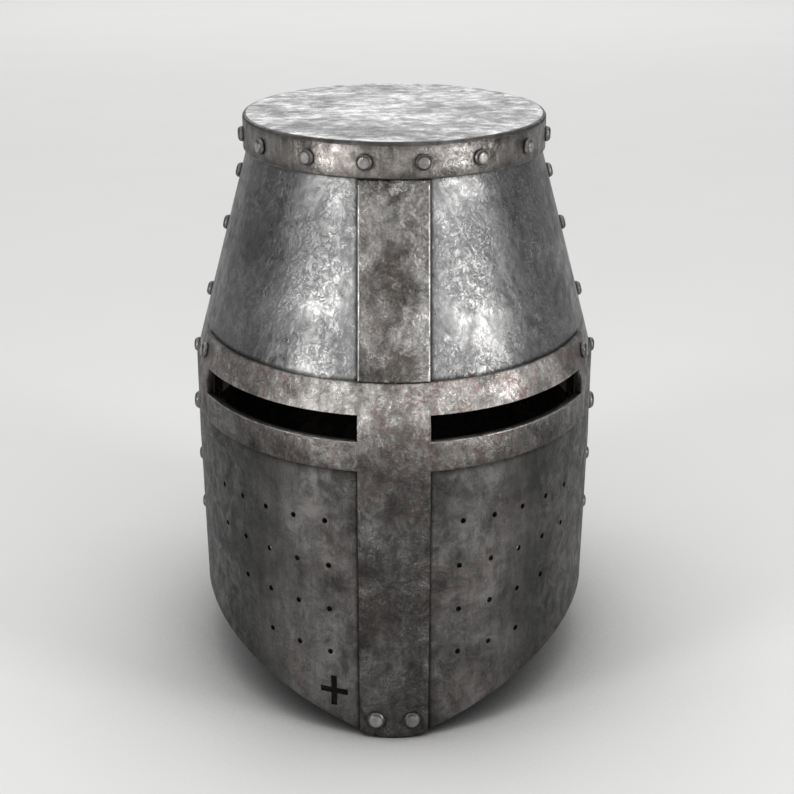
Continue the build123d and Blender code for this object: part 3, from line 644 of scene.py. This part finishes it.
def wall_grids(profile, turns, heights, thickness=WALL, filed=False):
    """Outer and inner points of a wall. A filed wall's inside runs on straight."""
    inner_profile = inset(profile, thickness)
    if filed:
        inner_profile[-1] = (profile[-1][0], *inner_profile[-2][1:])

    def pair(turn, z):
        sizes = sizes_at(profile, z)
        point = ring_point(sizes, turn, z)
        move = ring_normal(sizes, turn) * dent(point)
        return point + move, ring_point(sizes_at(inner_profile, z), turn, z) + move

    return both_grids(turns, heights, pair)


def rows_up(low, high, count):
    """Equal steps of height, without the last."""
    return [low + (high - low) * j / count for j in range(count)]


def cut(piece, cutter):
    """Cuts a closed bmesh, in millimetres, out of a piece."""
    tool = placed("cutter", mesh_of(cutter, "cutter"))
    modifier = piece.modifiers.new("cut", "BOOLEAN")
    modifier.operation = "DIFFERENCE"
    modifier.solver = "EXACT"
    modifier.object = tool
    graph = bpy.context.evaluated_depsgraph_get()
    result = bpy.data.meshes.new_from_object(piece.evaluated_get(graph))
    piece.modifiers.clear()
    piece.data = result
    bpy.data.objects.remove(tool)
    smooth(result)


def tube(bm, rings, slot=0):
    """The faces between rings of equally many points."""
    for low, high in zip(rings, rings[1:]):
        for k in range(len(low)):
            n = (k + 1) % len(low)
            bm.faces.new([low[k], low[n], high[n], high[k]]).material_index = slot


def prism(bm, rings, slot=0):
    """A closed solid through rings of points."""
    for end in (rings[0][::-1], rings[-1]):
        bm.faces.new(end).material_index = slot
    tube(bm, rings, slot)


def cap(bm, ring, slot=0):
    """Closes a ring with a fan round its middle."""
    middle = bm.verts.new(sum((vert.co for vert in ring), Vector()) / len(ring))
    for k in range(len(ring)):
        bm.faces.new([ring[k], ring[(k + 1) % len(ring)], middle]).material_index = slot


def round_ring(bm, centre, side, up, radius, sides):
    """A ring of points round a centre."""
    turns = [math.tau * k / sides for k in range(sides)]
    return [bm.verts.new(centre + (side * math.cos(turn) + up * math.sin(turn)) * radius) for turn in turns]


def add_cylinder(bm, centre, along, radius, half_length, sides=24):
    """A closed cylinder round a direction."""
    side = along.orthogonal().normalized()
    up = along.cross(side)
    prism(bm, [round_ring(bm, centre + along * end, side, up, radius, sides)
               for end in (-half_length, half_length)])


# Face plate
def angle_of(x, across):
    return math.asin(x / across)


FRONT_END = math.pi / 2 + math.asin(SEAM_LAP / REAR_HALF_DEPTH)
REAR_START = math.pi / 2 - math.asin(SEAM_LAP / HALF_DEPTH)
NASAL = angle_of(STRIP_HALF - HAIR / 2, HALF_WIDTH)
face_turns = lines([-FRONT_END, -SIGHT_ANGLE, -NASAL, NASAL, SIGHT_ANGLE, FRONT_END], TURN)
FACE_ROWS = 62


def face_heights(turn):
    low = front_edge(HALF_WIDTH * math.sin(turn))
    return rows_up(low, SIGHT_LOW, FACE_ROWS) + lines([SIGHT_LOW, TAPER_LOW, TAPER_HIGH], CELL)


def face_holds(i, j):
    middle = abs(face_turns[i] + face_turns[i + 1]) / 2
    return j < FACE_ROWS or not NASAL < middle < SIGHT_ANGLE


face = plate("face_plate_skin", "face_plate", SHADED_FACE_STEEL,
             wall_grids(FACE, face_turns, face_heights, filed=True), kept=face_holds, rim=0.55)

holes = bmesh.new()
for row, count in enumerate(BREATH_COUNTS):
    for column in range(count):
        degrees = BREATH_START + BREATH_STEP * column + (BREATH_TOP_LEAD if row == 0 else 0)
        height = BREATH_TOP - BREATH_PITCH * row + BREATH_PITCH * BREATH_RISE_SHARES[row] * column
        for side in (-1, 1):
            turn = math.radians(side * degrees)
            sizes = sizes_at(FACE, height)
            add_cylinder(holes, ring_point(sizes, turn, height), ring_normal(sizes, turn), BREATH_RADIUS,
                         CUT_REACH)
cut(face, holes)


def toggle_cross():
    """The cross-shaped cutter, square to the wall."""
    turn = math.radians(TOGGLE_ANGLE)
    sizes = sizes_at(FACE, TOGGLE_HEIGHT)
    out = ring_normal(sizes, turn)
    side = Vector((-out.y, out.x, 0))
    centre = ring_point(sizes, turn, TOGGLE_HEIGHT)
    a, w, t = TOGGLE_ARM / 2, TOGGLE_WIDE / 2, TOGGLE_TALL / 2
    outline = [(a, t), (-a, t), (-a, a), (-w, a), (-w, -a), (-a, -a),
               (-a, -t), (a, -t), (a, -a), (w, -a), (w, a), (a, a)]
    bm = bmesh.new()
    rings = [[bm.verts.new(centre + side * x + Vector((0, 0, z)) + out * reach) for x, z in outline]
             for reach in (-CUT_REACH, CUT_REACH)]
    prism(bm, rings)
    bmesh.ops.recalc_face_normals(bm, faces=bm.faces)
    return bm


cut(face, toggle_cross())

# Nape plate
nape_turns = lines([REAR_START, 2 * math.pi - REAR_START], TURN)


def nape_heights(turn):
    low = rear_edge((HALF_WIDTH - LAYER) * math.sin(turn))
    return rows_up(low, TAPER_LOW, FACE_ROWS) + lines([TAPER_LOW, TAPER_HIGH], CELL)


plate("nape_plate_skin", "nape_plate", SHADED_FACE_STEEL,
      wall_grids(inset(FACE, LAYER), nape_turns, nape_heights, filed=True))

# Skull plates
SIGHT_CLEAR = SIGHT_ANGLE + SIGHT_MARGIN / HALF_WIDTH
NASAL_CLEAR = angle_of(STRIP_HALF - SIGHT_MARGIN, MARGIN_SIZES[0])
skull_turns = lines([-FRONT_END, -REAR_START, -SIGHT_CLEAR, -NASAL_CLEAR,
                     NASAL_CLEAR, SIGHT_CLEAR, REAR_START, FRONT_END], TURN)
skull_rows = lines([BEND - MARGIN, TAPER_HIGH + LAP_GAP, SIGHT_HIGH, NECK, NECK_TOP], CELL)


def skull_holds(i, j):
    middle = abs(skull_turns[i] + skull_turns[i + 1]) / 2
    if skull_rows[j] >= SIGHT_HIGH - HAIR:
        return True
    if middle > REAR_START and skull_rows[j] < TAPER_HIGH:
        return False
    return not NASAL_CLEAR < middle < SIGHT_CLEAR


plate("skull_front_skin", "skull_front_plate", SKULL_STEEL,
      wall_grids(SKULL, skull_turns, skull_rows), kept=skull_holds)
plate("skull_rear_skin", "skull_rear_plate", SKULL_STEEL,
      wall_grids(REAR_SKULL, nape_turns, skull_rows))

# The rear neck's folded hem, which fills the flange
hem_profile = [(FLANGE_LOW + LAP_GAP, *SKULL[-1][1:]), (NECK_TOP, *SKULL[-1][1:])]
HEM_GAP = math.radians(0.2)
hem_turns = lines([FRONT_END + HEM_GAP, 2 * math.pi - FRONT_END - HEM_GAP], TURN)
hem_rows = lines([FLANGE_LOW + LAP_GAP, NECK_TOP], CELL)
plate("skull_rear_hem", "skull_rear_plate", SKULL_STEEL,
      wall_grids(hem_profile, hem_turns, hem_rows, LAYER), replaced=False)

# Cross plate: brow arms round the sights, nasal and upright
ARM_STOP = math.acos(ARM_END / CROSS[0][2])
cross_turns = lines([-ARM_STOP, -SIGHT_ANGLE, -NASAL, NASAL, SIGHT_ANGLE, ARM_STOP], TURN)
UPRIGHT_ROWS = 56
arm_rows = lines([ARM_LOW, SIGHT_LOW, TAPER_LOW, SIGHT_HIGH, BEND, ARM_TOP], CELL)


def cross_heights(turn):
    return rows_up(front_edge(HALF_WIDTH * math.sin(turn)), ARM_LOW, UPRIGHT_ROWS) + arm_rows


def cross_holds(i, j):
    middle = abs(cross_turns[i] + cross_turns[i + 1]) / 2
    if j < UPRIGHT_ROWS:
        return middle < NASAL
    beside = SIGHT_LOW - HAIR < arm_rows[j - UPRIGHT_ROWS] < SIGHT_HIGH - HAIR
    return not (beside and NASAL < middle < SIGHT_ANGLE)


plate("cross_plate_skin", "cross_plate", [CROSS_STEEL, EDGE_STEEL],
      wall_grids(CROSS, cross_turns, cross_heights), kept=cross_holds, rim=0.6,
      worn=lambda p: SIGHT_LOW - 1 < p.z < SIGHT_LOW + 0.5)

# Upper strip
strip_rows = lines([ARM_TOP + LAP_GAP, FLANGE_LOW - 2 * LAP_GAP], CELL)
strip_shares = lines([-1.0, 1.0], CELL / STRIP_HALF)
strip_profile = inset(SKULL, -LAP_GAP - STRIP_WALL)


def strip_pair(share, z):
    sizes = sizes_at(strip_profile, z)
    turn = angle_of(share * STRIP_HALF, sizes[0])
    point = ring_point(sizes, turn, z)
    move = ring_normal(sizes, turn) * dent(point)
    return point + move, ring_point([size - STRIP_WALL for size in sizes], turn, z) + move


plate("upper_strip_skin", "upper_strip", BAND_STEEL, both_grids(strip_shares, strip_rows, strip_pair),
      rim=1.0, worn=lambda p: ARM_TOP + 1 < p.z < FLANGE_LOW - 2.5)

# Top plate: rows of (inset, share of the way out, height) from the middle of the top to the middle inside
TOP_SIZES = [size + LAYER for size in SKULL[-1][1:]]
AROUND = 240
DISC_RINGS = 34
FLANGE_SLOT, LIP_SLOT, DISC_SLOT = 0, 1, 2
DISC_DENT_MOVE = Vector((0, 0, 40))  # where the disc's dents are read, away from the flange's


def arc_rows(inset_middle, height_middle, radius, first, last, steps=4):
    """Rows round an edge; the angle is counted from outwards to upwards."""
    rows = []
    for k in range(steps + 1):
        angle = math.radians(first + (last - first) * k / steps)
        rows.append((inset_middle - radius * math.cos(angle), 1.0, height_middle + radius * math.sin(angle)))
    return rows


top_rows = [(SHOULDER, k / DISC_RINGS, HEIGHT) for k in range(1, DISC_RINGS)]
shoulder_first = len(top_rows)
top_rows += arc_rows(SHOULDER, HEIGHT - SHOULDER, SHOULDER, 90, 0)
shoulder_last = len(top_rows)
top_rows += [(0.0, 1.0, z) for z in lines([HEIGHT - SHOULDER, FLANGE_LOW + LIP], CELL)[1:-1]]
lip_first = len(top_rows)
top_rows += arc_rows(LIP, FLANGE_LOW + LIP, LIP, 0, -90)
top_rows += [(WALL, 1.0, FLANGE_LOW), (WALL, 1.0, HEIGHT - WALL)]
top_rows += [(WALL, share, HEIGHT - WALL) for share in (0.75, 0.5, 0.25)]
bm = bmesh.new()
rings = []
for inset_amount, share, z in top_rows:
    sizes = [size - inset_amount for size in TOP_SIZES]
    ring = []
    for k in range(AROUND):
        turn = math.tau * k / AROUND
        point = ring_point([size * share for size in sizes], turn, z)
        on_top = inset_amount <= SHOULDER and z > HEIGHT - SHOULDER
        rise = dent(point + DISC_DENT_MOVE) if on_top else 0
        sink = dent(ring_point(TOP_SIZES, turn, z)) if share == 1.0 else 0
        ring.append(bm.verts.new(point + ring_normal(sizes, turn) * sink + Vector((0, 0, min(0.0, rise)))))
    rings.append(ring)
for index, pair in enumerate(zip(rings, rings[1:])):
    on_lip = shoulder_first < index < shoulder_last - 1 or lip_first <= index < lip_first + 4
    tube(bm, pair, DISC_SLOT if index < shoulder_first else LIP_SLOT if on_lip else FLANGE_SLOT)
cap(bm, rings[0], DISC_SLOT)
cap(bm, rings[-1], FLANGE_SLOT)
bmesh.ops.recalc_face_normals(bm, faces=bm.faces)
finish_mesh(bm, "top_plate_skin", [FLANGE_STEEL, LIP_SHADE_STEEL, TOP_STEEL], "shell", ["top_plate"],
            50)

# CAD pieces that stay as they are, with better materials
DRESSED = (
    (RIVET_STEEL, ("flange_rivets", "right_skull_rivets", "left_skull_rivets", "brow_rivets",
                   "right_seam_rivets", "left_seam_rivets", "rear_lap_rivets", "foot_rivets",
                   "liner_rivets", "strap_rivets")),
    (BAND_STEEL, ("strip_rivets",)),
    (CROSS_STEEL, ("cross_plate_rivets",)),
    (FITTING_STEEL, ("strap_roves", "buckle_frame", "buckle_tongue")),
    (HIDE, ("strap_spacers",)),
)
for material, names in DRESSED:
    for name in names:
        for material_slot in nodes[name].material_slots:
            material_slot.material = material


# Lining: the liner's outside runs just inside the skull plates
LINER = [(z, a - LAYER - WALL, front - WALL, rear - LAYER - WALL) for z, a, front, rear in SKULL]
SOFT_GAP = 0.3
BAND_LOW, BAND_HIGH, BAND_WALL = 199.0, 224.0, 2.0
BAND_SEAM = 2.5  # from the band's edge to its stitches
PAD_HIGH, PAD_LOW, BROW_PAD_LOW = 238.0, 150.0, 200.0
PAD_WALL = 12.0
PAD_STAND = 2 * SOFT_GAP + BAND_WALL
CHANNEL = 24.0  # width of the pads' quilted channels
STITCH = 3.4  # from stitch to stitch
STITCH_LENGTH, STITCH_RADIUS = 2.4, 0.35


def add_stitch(bm, centre, along, out, slot=2, length=STITCH_LENGTH, radius=STITCH_RADIUS):
    """One stitch: a short thread, thick in the middle, half sunk in what it holds."""
    side = along.cross(out).normalized()
    prism(bm, [round_ring(bm, centre + along * place * length, side, out, radius * size, 6)
               for place, size in ((-0.5, 0.35), (-0.25, 1.0), (0.25, 1.0), (0.5, 0.35))], slot)


def closed_skin(grid_out, grid_in):
    """A closed surface between two grids that share their rims."""
    bm = bmesh.new()
    columns, rows = len(grid_out), len(grid_out[0])

    def on_rim(i, j):
        return i in (0, columns - 1) or j in (0, rows - 1)

    front = [[bm.verts.new(grid_out[i][j]) for j in range(rows)] for i in range(columns)]
    back = [[front[i][j] if on_rim(i, j) else bm.verts.new(grid_in[i][j]) for j in range(rows)]
            for i in range(columns)]
    for i in range(columns - 1):
        for j in range(rows - 1):
            bm.faces.new([front[i][j], front[i + 1][j], front[i + 1][j + 1], front[i][j + 1]])
            bm.faces.new([back[i][j + 1], back[i + 1][j + 1], back[i + 1][j], back[i][j]])
    bmesh.ops.recalc_face_normals(bm, faces=bm.faces)
    return bm


def rounded(distance, radius):
    """Share of a pad's thickness at a distance from its rim."""
    near = 1 - min(1.0, max(0.0, distance) / radius)
    return math.sqrt(1 - near * near)


def plan_turn(sizes, angle):
    """The ring's turn at a plan angle."""
    across, front, rear = sizes
    deep = front if math.cos(angle) >= 0 else rear
    turn = math.atan2(math.sin(angle) / across, math.cos(angle) / deep)
    return turn % math.tau if angle > math.pi / 2 else turn


def quilted_pad(name, start, end, low, high):
    """A quilted pad against the skull: upright channels, each crowned, sewn down between them."""
    profile = inset(LINER, PAD_STAND)
    middle = sizes_at(profile, (low + high) / 2)
    first, last = (plan_turn(middle, math.radians(angle)) for angle in (start, end))
    radius = (middle[0] + middle[1]) / 2
    channels = max(2, round((last - first) * radius / CHANNEL))
    per_channel, steps = 9, 26
    columns = channels * per_channel
    turns = [first + (last - first) * k / columns for k in range(columns + 1)]
    heights = [low + (high - low) * (0.5 - 0.5 * math.cos(math.pi * k / steps)) for k in range(steps + 1)]

    def pair(i, z):
        phase = i % per_channel / per_channel
        crown = math.sin(math.pi * phase) ** 0.6 if 0 < i < columns else 0
        sizes = sizes_at(profile, z)
        point, out = ring_point(sizes, turns[i], z), ring_normal(sizes, turns[i])
        across = min(i, columns - i) / per_channel * CHANNEL
        share = rounded(across, 6) * rounded(min(z - low, high - z), 7)
        pucker = 0.5 * noise.noise(point / 5) * share
        depth = PAD_WALL * (0.30 + 0.66 * crown) + pucker
        middle_depth = PAD_WALL * 0.42
        face_depth = middle_depth * (1 - share)
        back_depth = middle_depth + (depth - middle_depth) * share
        return point - out * face_depth, point - out * max(back_depth, face_depth + 0.2)

    grid_out, grid_in = both_grids(range(columns + 1), heights, pair)
    bm = closed_skin(grid_out, grid_in)
    for i in range(per_channel, columns, per_channel):
        out = ring_normal(sizes_at(profile, high), turns[i])
        length = (high - low) - 14
        for k in range(int(length / STITCH)):
            z = low + 7 + (k + 0.5) * STITCH
            j = max(index for index, height in enumerate(heights) if height <= z)
            share = (z - heights[j]) / (heights[j + 1] - heights[j])
            lower, upper = grid_in[i][j], grid_in[i][j + 1]
            add_stitch(bm, lower.lerp(upper, share), (upper - lower).normalized(), -out, 1)
    piece = finish_mesh(bm, name + "_quilt", [SHADE_DARKENED_LINEN, THREAD], "shell", [name], 60)


quilted_pad("brow_pad", -72.5, 72.5, BROW_PAD_LOW, PAD_HIGH)
quilted_pad("left_temple_pad", 75.5, 122.5, PAD_LOW, PAD_HIGH)
quilted_pad("right_temple_pad", 237.5, 284.5, PAD_LOW, PAD_HIGH)
quilted_pad("nape_pad", 125.5, 234.5, PAD_LOW, PAD_HIGH)

# Crown pad: an oval cushion under the top plate, tied down at its middle and along eight seams
CROWN_HALF = (71.65, 91.75)
CROWN_TOP, CROWN_WALL = 302.9, 15.0
CROWN_SIDES, CROWN_SEAMS = 144, 8


def crown_pair(share, k):
    turn = math.tau * k / CROWN_SIDES
    seam = abs(math.sin(CROWN_SEAMS / 2 * turn)) ** 0.5
    edge = rounded((1 - share) * CROWN_HALF[0], 7)
    tie = min(1.0, share / 0.35)
    depth = CROWN_WALL * (0.40 + 0.58 * (0.35 + 0.65 * seam) * tie) * edge
    x, y = CROWN_HALF[0] * share * math.sin(turn), -CROWN_HALF[1] * share * math.cos(turn)
    pucker = 0.4 * noise.noise(Vector((x, y, 0)) / 6) * edge
    top = CROWN_TOP - 5.5 * (1 - edge)
    return Vector((x, y, top)), Vector((x, y, top - max(depth + pucker, 0.0)))


crown_shares = [0.04 + 0.96 * math.sin(math.pi / 2 * k / 18) for k in range(19)]
crown_top_rings, crown_low_rings = both_grids(crown_shares, range(CROWN_SIDES), crown_pair)
bm = bmesh.new()
rings = [[bm.verts.new(point) for point in loop] for loop in crown_top_rings + crown_low_rings[-2::-1]]
tube(bm, rings)
cap(bm, rings[0])
cap(bm, rings[-1])
bmesh.ops.recalc_face_normals(bm, faces=bm.faces)
for k in range(0, CROWN_SIDES, CROWN_SIDES // CROWN_SEAMS):
    for ring_a, ring_b in zip(crown_low_rings[5:-3], crown_low_rings[6:-2]):
        along = ring_b[k] - ring_a[k]
        count = max(1, round(along.length / STITCH))
        for n in range(count):
            add_stitch(bm, ring_a[k].lerp(ring_b[k], (n + 0.5) / count), along.normalized(), -UP, 1)
crown = finish_mesh(bm, "crown_pad_quilt", [SHADE_DARKENED_LINEN, THREAD], "shell", ["crown_pad"], 60)

# Leather band round the lining, butted at the back and sewn along both edges
band_profile = inset(LINER, SOFT_GAP)
BUTT = math.radians(0.35)
band_turns = lines([-math.pi + BUTT, math.pi - BUTT], 1.5 * TURN)
band_rows = lines([BAND_LOW, BAND_HIGH], CELL)
bm = skinned(*wall_grids(band_profile, band_turns, band_rows, BAND_WALL), behind=0)
for z in (BAND_LOW + BAND_SEAM, BAND_HIGH - BAND_SEAM):
    sizes = sizes_at(inset(band_profile, BAND_WALL), z)
    count = round(math.pi * (sizes[0] + sizes[1]) / (1.4 * STITCH))
    for k in range(count):
        turn = math.tau * (k + 0.5) / count
        out = ring_normal(sizes, turn)
        point = ring_point(sizes, turn, z)
        add_stitch(bm, point + out * dent(point), Vector((-out.y, out.x, 0)), -out, 2, 3.0, 0.4)
finish_mesh(bm, "liner_band_leather", LEATHERS, "shell", ["liner_band"])

# Chin strap: both halves lie in upright planes beside the wearer's jaw
STRAP_HALF = 9.0
STRAP_WALL = 2.4
STRAP_MIDDLE = 102.05
STRAP_RIVET = 137.31
LEFT_LENGTH, RIGHT_LENGTH = 88.0, 42.0
STRAP_TIP = 12.0
EDGE_SEAM = 2.2  # the edge stitching's distance from the strap's edge
BORE_RADIUS, HOLE_RADIUS = 2.05, 1.6  # for the rivet, for the buckle's tongue
HOLE_FIRST, HOLE_PITCH, HOLE_COUNT = 18, 12, 4
BORE_REACH = 5
ACROSS = Vector((1, 0, 0))


def strap_half(z, tip=None):
    """Half width of a strap at a height: round over the rivet, pointed at the tip."""
    half = STRAP_HALF
    if z > STRAP_RIVET:
        half = math.sqrt(max(0.0, STRAP_HALF ** 2 - (z - STRAP_RIVET) ** 2))
    if tip is not None and z < tip + STRAP_TIP:
        half = min(half, STRAP_HALF * (z - tip) / STRAP_TIP)
    return max(half, 0.6)


def bored(piece, x, heights, radius):
    """Cuts round holes, which run across the helm, through a strap."""
    bores = bmesh.new()
    for z in heights:
        add_cylinder(bores, Vector((x, 0, z)), ACROSS, radius, BORE_REACH, 20)
    cut(piece, bores)


def sew_edge(bm, x_of, side, face_side, low, length):
    """Stitches along one edge of a strap, on one of its faces, at the distance that x_of gives."""
    for k in range(int(length / STITCH)):
        z = low + (k + 0.5) * STITCH
        add_stitch(bm, Vector((x_of(z), side * (STRAP_HALF - EDGE_SEAM), z)), UP, ACROSS * face_side)


tip = STRAP_RIVET - LEFT_LENGTH


def bow(z):
    """How far the hanging left half bends to the side at a height."""
    return 0.25 * math.sin((z - tip) / 14) * min(1.0, (STRAP_RIVET - z) / 20) if z < STRAP_RIVET else 0.0


strap_columns = lines([-1.0, 1.0], 1 / 9)
STRAP_ENDS = [STRAP_RIVET, STRAP_RIVET + STRAP_HALF - 1, STRAP_RIVET + STRAP_HALF]
strap_rows = lines([tip, tip + STRAP_TIP, *STRAP_ENDS], 2)


def strap_pair(share, z):
    half_wall = STRAP_WALL / 2 - (0.3 if 0.66 < abs(share) < 0.80 else 0.0)  # pressed in by the seam
    return [Vector((STRAP_MIDDLE + bow(z) + stand, share * strap_half(z, tip), z))
            for stand in (half_wall, -half_wall)]


bm = skinned(*both_grids(strap_columns, strap_rows, strap_pair), rim=0.6, behind=0)
for side in (-1, 1):
    for face_side in (-1, 1):
        sew_edge(bm, lambda z: STRAP_MIDDLE + bow(z) + face_side * (STRAP_WALL / 2 - 0.25), side, face_side,
                 tip + STRAP_TIP + 2, LEFT_LENGTH - STRAP_TIP - 4)
strap = finish_mesh(bm, "left_strap_leather", LEATHERS, "left_strap", ["left_chin_strap"])
bored(strap, STRAP_MIDDLE, [STRAP_RIVET], BORE_RADIUS)
bored(strap, STRAP_MIDDLE, [tip + HOLE_FIRST + HOLE_PITCH * k for k in range(HOLE_COUNT)], HOLE_RADIUS)

# The right half is one long strip, folded round the buckle's bar and sewn to itself
BAR = STRAP_RIVET - RIGHT_LENGTH
FOLD_NEAR, FOLD_FAR = 1.68, 3.1
FOLD_STEPS = 16
LEAF_GAP = 0.02  # from the strap's middle to each leaf's inside
SLOT_HALF, SLOT_RISE = 3.0, 7.0
path_outer, path_inner = [], []
leaf_heights = lines([BAR + FOLD_FAR + 2.5, BAR + SLOT_RISE, *STRAP_ENDS], 2)
for z in reversed(leaf_heights):
    path_outer.append((-STRAP_MIDDLE - STRAP_WALL / 2, z))
    path_inner.append((-STRAP_MIDDLE - LEAF_GAP, z))
for k in range(FOLD_STEPS + 1):
    angle = math.radians(125 + 290 * k / FOLD_STEPS)
    for path, radius in ((path_outer, FOLD_FAR), (path_inner, FOLD_NEAR)):
        path.append((-STRAP_MIDDLE + radius * math.cos(angle), BAR + radius * math.sin(angle)))
for z in leaf_heights:
    path_outer.append((-STRAP_MIDDLE + STRAP_WALL / 2, z))
    path_inner.append((-STRAP_MIDDLE + LEAF_GAP, z))
leaf_columns = lines([-1.0, -SLOT_HALF / STRAP_HALF, SLOT_HALF / STRAP_HALF, 1.0], 1 / 9)
outer = [[Vector((x, share * strap_half(z), z)) for x, z in path_outer] for share in leaf_columns]
inner = [[Vector((x, share * strap_half(z2), z)) for (x, z), (_, z2) in zip(path_inner, path_outer)]
         for share in leaf_columns]


def leaf_holds(i, j):
    in_slot = abs(leaf_columns[i] + leaf_columns[i + 1]) / 2 * STRAP_HALF < SLOT_HALF
    return not (in_slot and max(path_outer[j][1], path_outer[j + 1][1]) < BAR + SLOT_RISE + HAIR)


bm = skinned(outer, inner, leaf_holds, 0.35, behind=0)
for face_side in (-1, 1):
    x = -STRAP_MIDDLE + face_side * (STRAP_WALL / 2 - 0.1)
    for side in (-1, 1):
        sew_edge(bm, lambda z: x, side, face_side, BAR + 9, RIGHT_LENGTH - 12)
    for k in range(4):
        place = Vector((x, (k - 1.5) * STITCH, BAR + SLOT_RISE + 2.5))
        add_stitch(bm, place, Vector((0, 1, 0)), ACROSS * face_side)
strap = finish_mesh(bm, "right_strap_leather", LEATHERS, "right_strap",
                    ["right_chin_strap"])
bored(strap, -STRAP_MIDDLE, [STRAP_RIVET], BORE_RADIUS)


# Floor, lights and camera
def matt(name, colour, rough):
    """Plain paper, with a painted shadow from ambient occlusion: darker round and under what stands on it.
    """
    material, shader, add = tree_of(name)
    where = add("ShaderNodeTexCoord").outputs["Object"]
    duller = [0.985 * value for value in colour]
    paper = ramp(add, noise_at(add, where, 6, 3, 0.5), [(0.3, duller), (0.7, colour)])
    under = add("ShaderNodeAmbientOcclusion", samples=8, Distance=0.35)
    shade = ramp(add, under.outputs["AO"], [(0.10, 0.01), (0.45, 0.35), (0.80, 1.0)])
    feed(shader["Base Color"], mix_colour(add, "MULTIPLY", 1.0, paper, shade))
    shader["Roughness"].default_value = rough
    return material


FLOOR_HALF = 8.0
floor_mesh = bpy.data.meshes.new("floor")
corners = [(x * FLOOR_HALF, y * FLOOR_HALF, 0) for x, y in ((-1, -1), (1, -1), (1, 1), (-1, 1))]
floor_mesh.from_pydata(corners, [], [(0, 1, 2, 3)])
floor_mesh.materials.append(matt("floor", (0.84, 0.835, 0.825), 0.85))
floor = placed("floor", floor_mesh)

world = bpy.data.worlds.new("studio")
world.use_nodes = True
background = world.node_tree.nodes["Background"].inputs
background["Color"].default_value = (0.95, 0.97, 1.0, 1)
background["Strength"].default_value = 0.17
bpy.context.scene.world = world


def softbox(name, place, aim, width, height, power, colour=(1, 1, 1)):
    """A rectangular area light, which the camera doesn't see."""
    data = bpy.data.lights.new(name, "AREA")
    data.shape = "RECTANGLE"
    data.size, data.size_y, data.energy, data.color = width, height, power, colour
    lamp = placed(name, data)
    lamp.location = place
    lamp.rotation_euler = (Vector(aim) - Vector(place)).to_track_quat("-Z", "Y").to_euler()
    lamp.visible_camera = False


WARM = (1.0, 0.99, 0.975)
softbox("left_box", (-1.17, -0.94, 0.50), (0, 0, 0.2), 0.36, 0.95, 9, WARM)
softbox("right_box", (1.30, -0.74, 0.50), (0, 0, 0.2), 0.40, 0.95, 10, WARM)
softbox("front_box", (0.05, -1.9, 0.9), (0, 0, 0.16), 0.7, 0.6, 2.0)
softbox("back_box", (0, 4.7, 1.85), (0, 0, 0.3), 4.4, 1.3, 30)
softbox("sky_box", (0, 1.6, 4.0), (0, 1.6, 0), 11.0, 12.0, 330)

CAMERA_LENS = 69.76
CAMERA_PLACE = Vector((0.0015, -0.842, 0.4356))
CAMERA_AIM = Vector((0.0015, 0, 0.1388))
camera_data = bpy.data.cameras.new("camera")
camera_data.lens = CAMERA_LENS
camera_data.sensor_width = 36
camera = placed("camera", camera_data)
camera.location = CAMERA_PLACE
camera.rotation_euler = (CAMERA_AIM - CAMERA_PLACE).to_track_quat("-Z", "Y").to_euler()
bpy.context.scene.camera = camera
bpy.context.scene.view_settings.view_transform = "Standard"
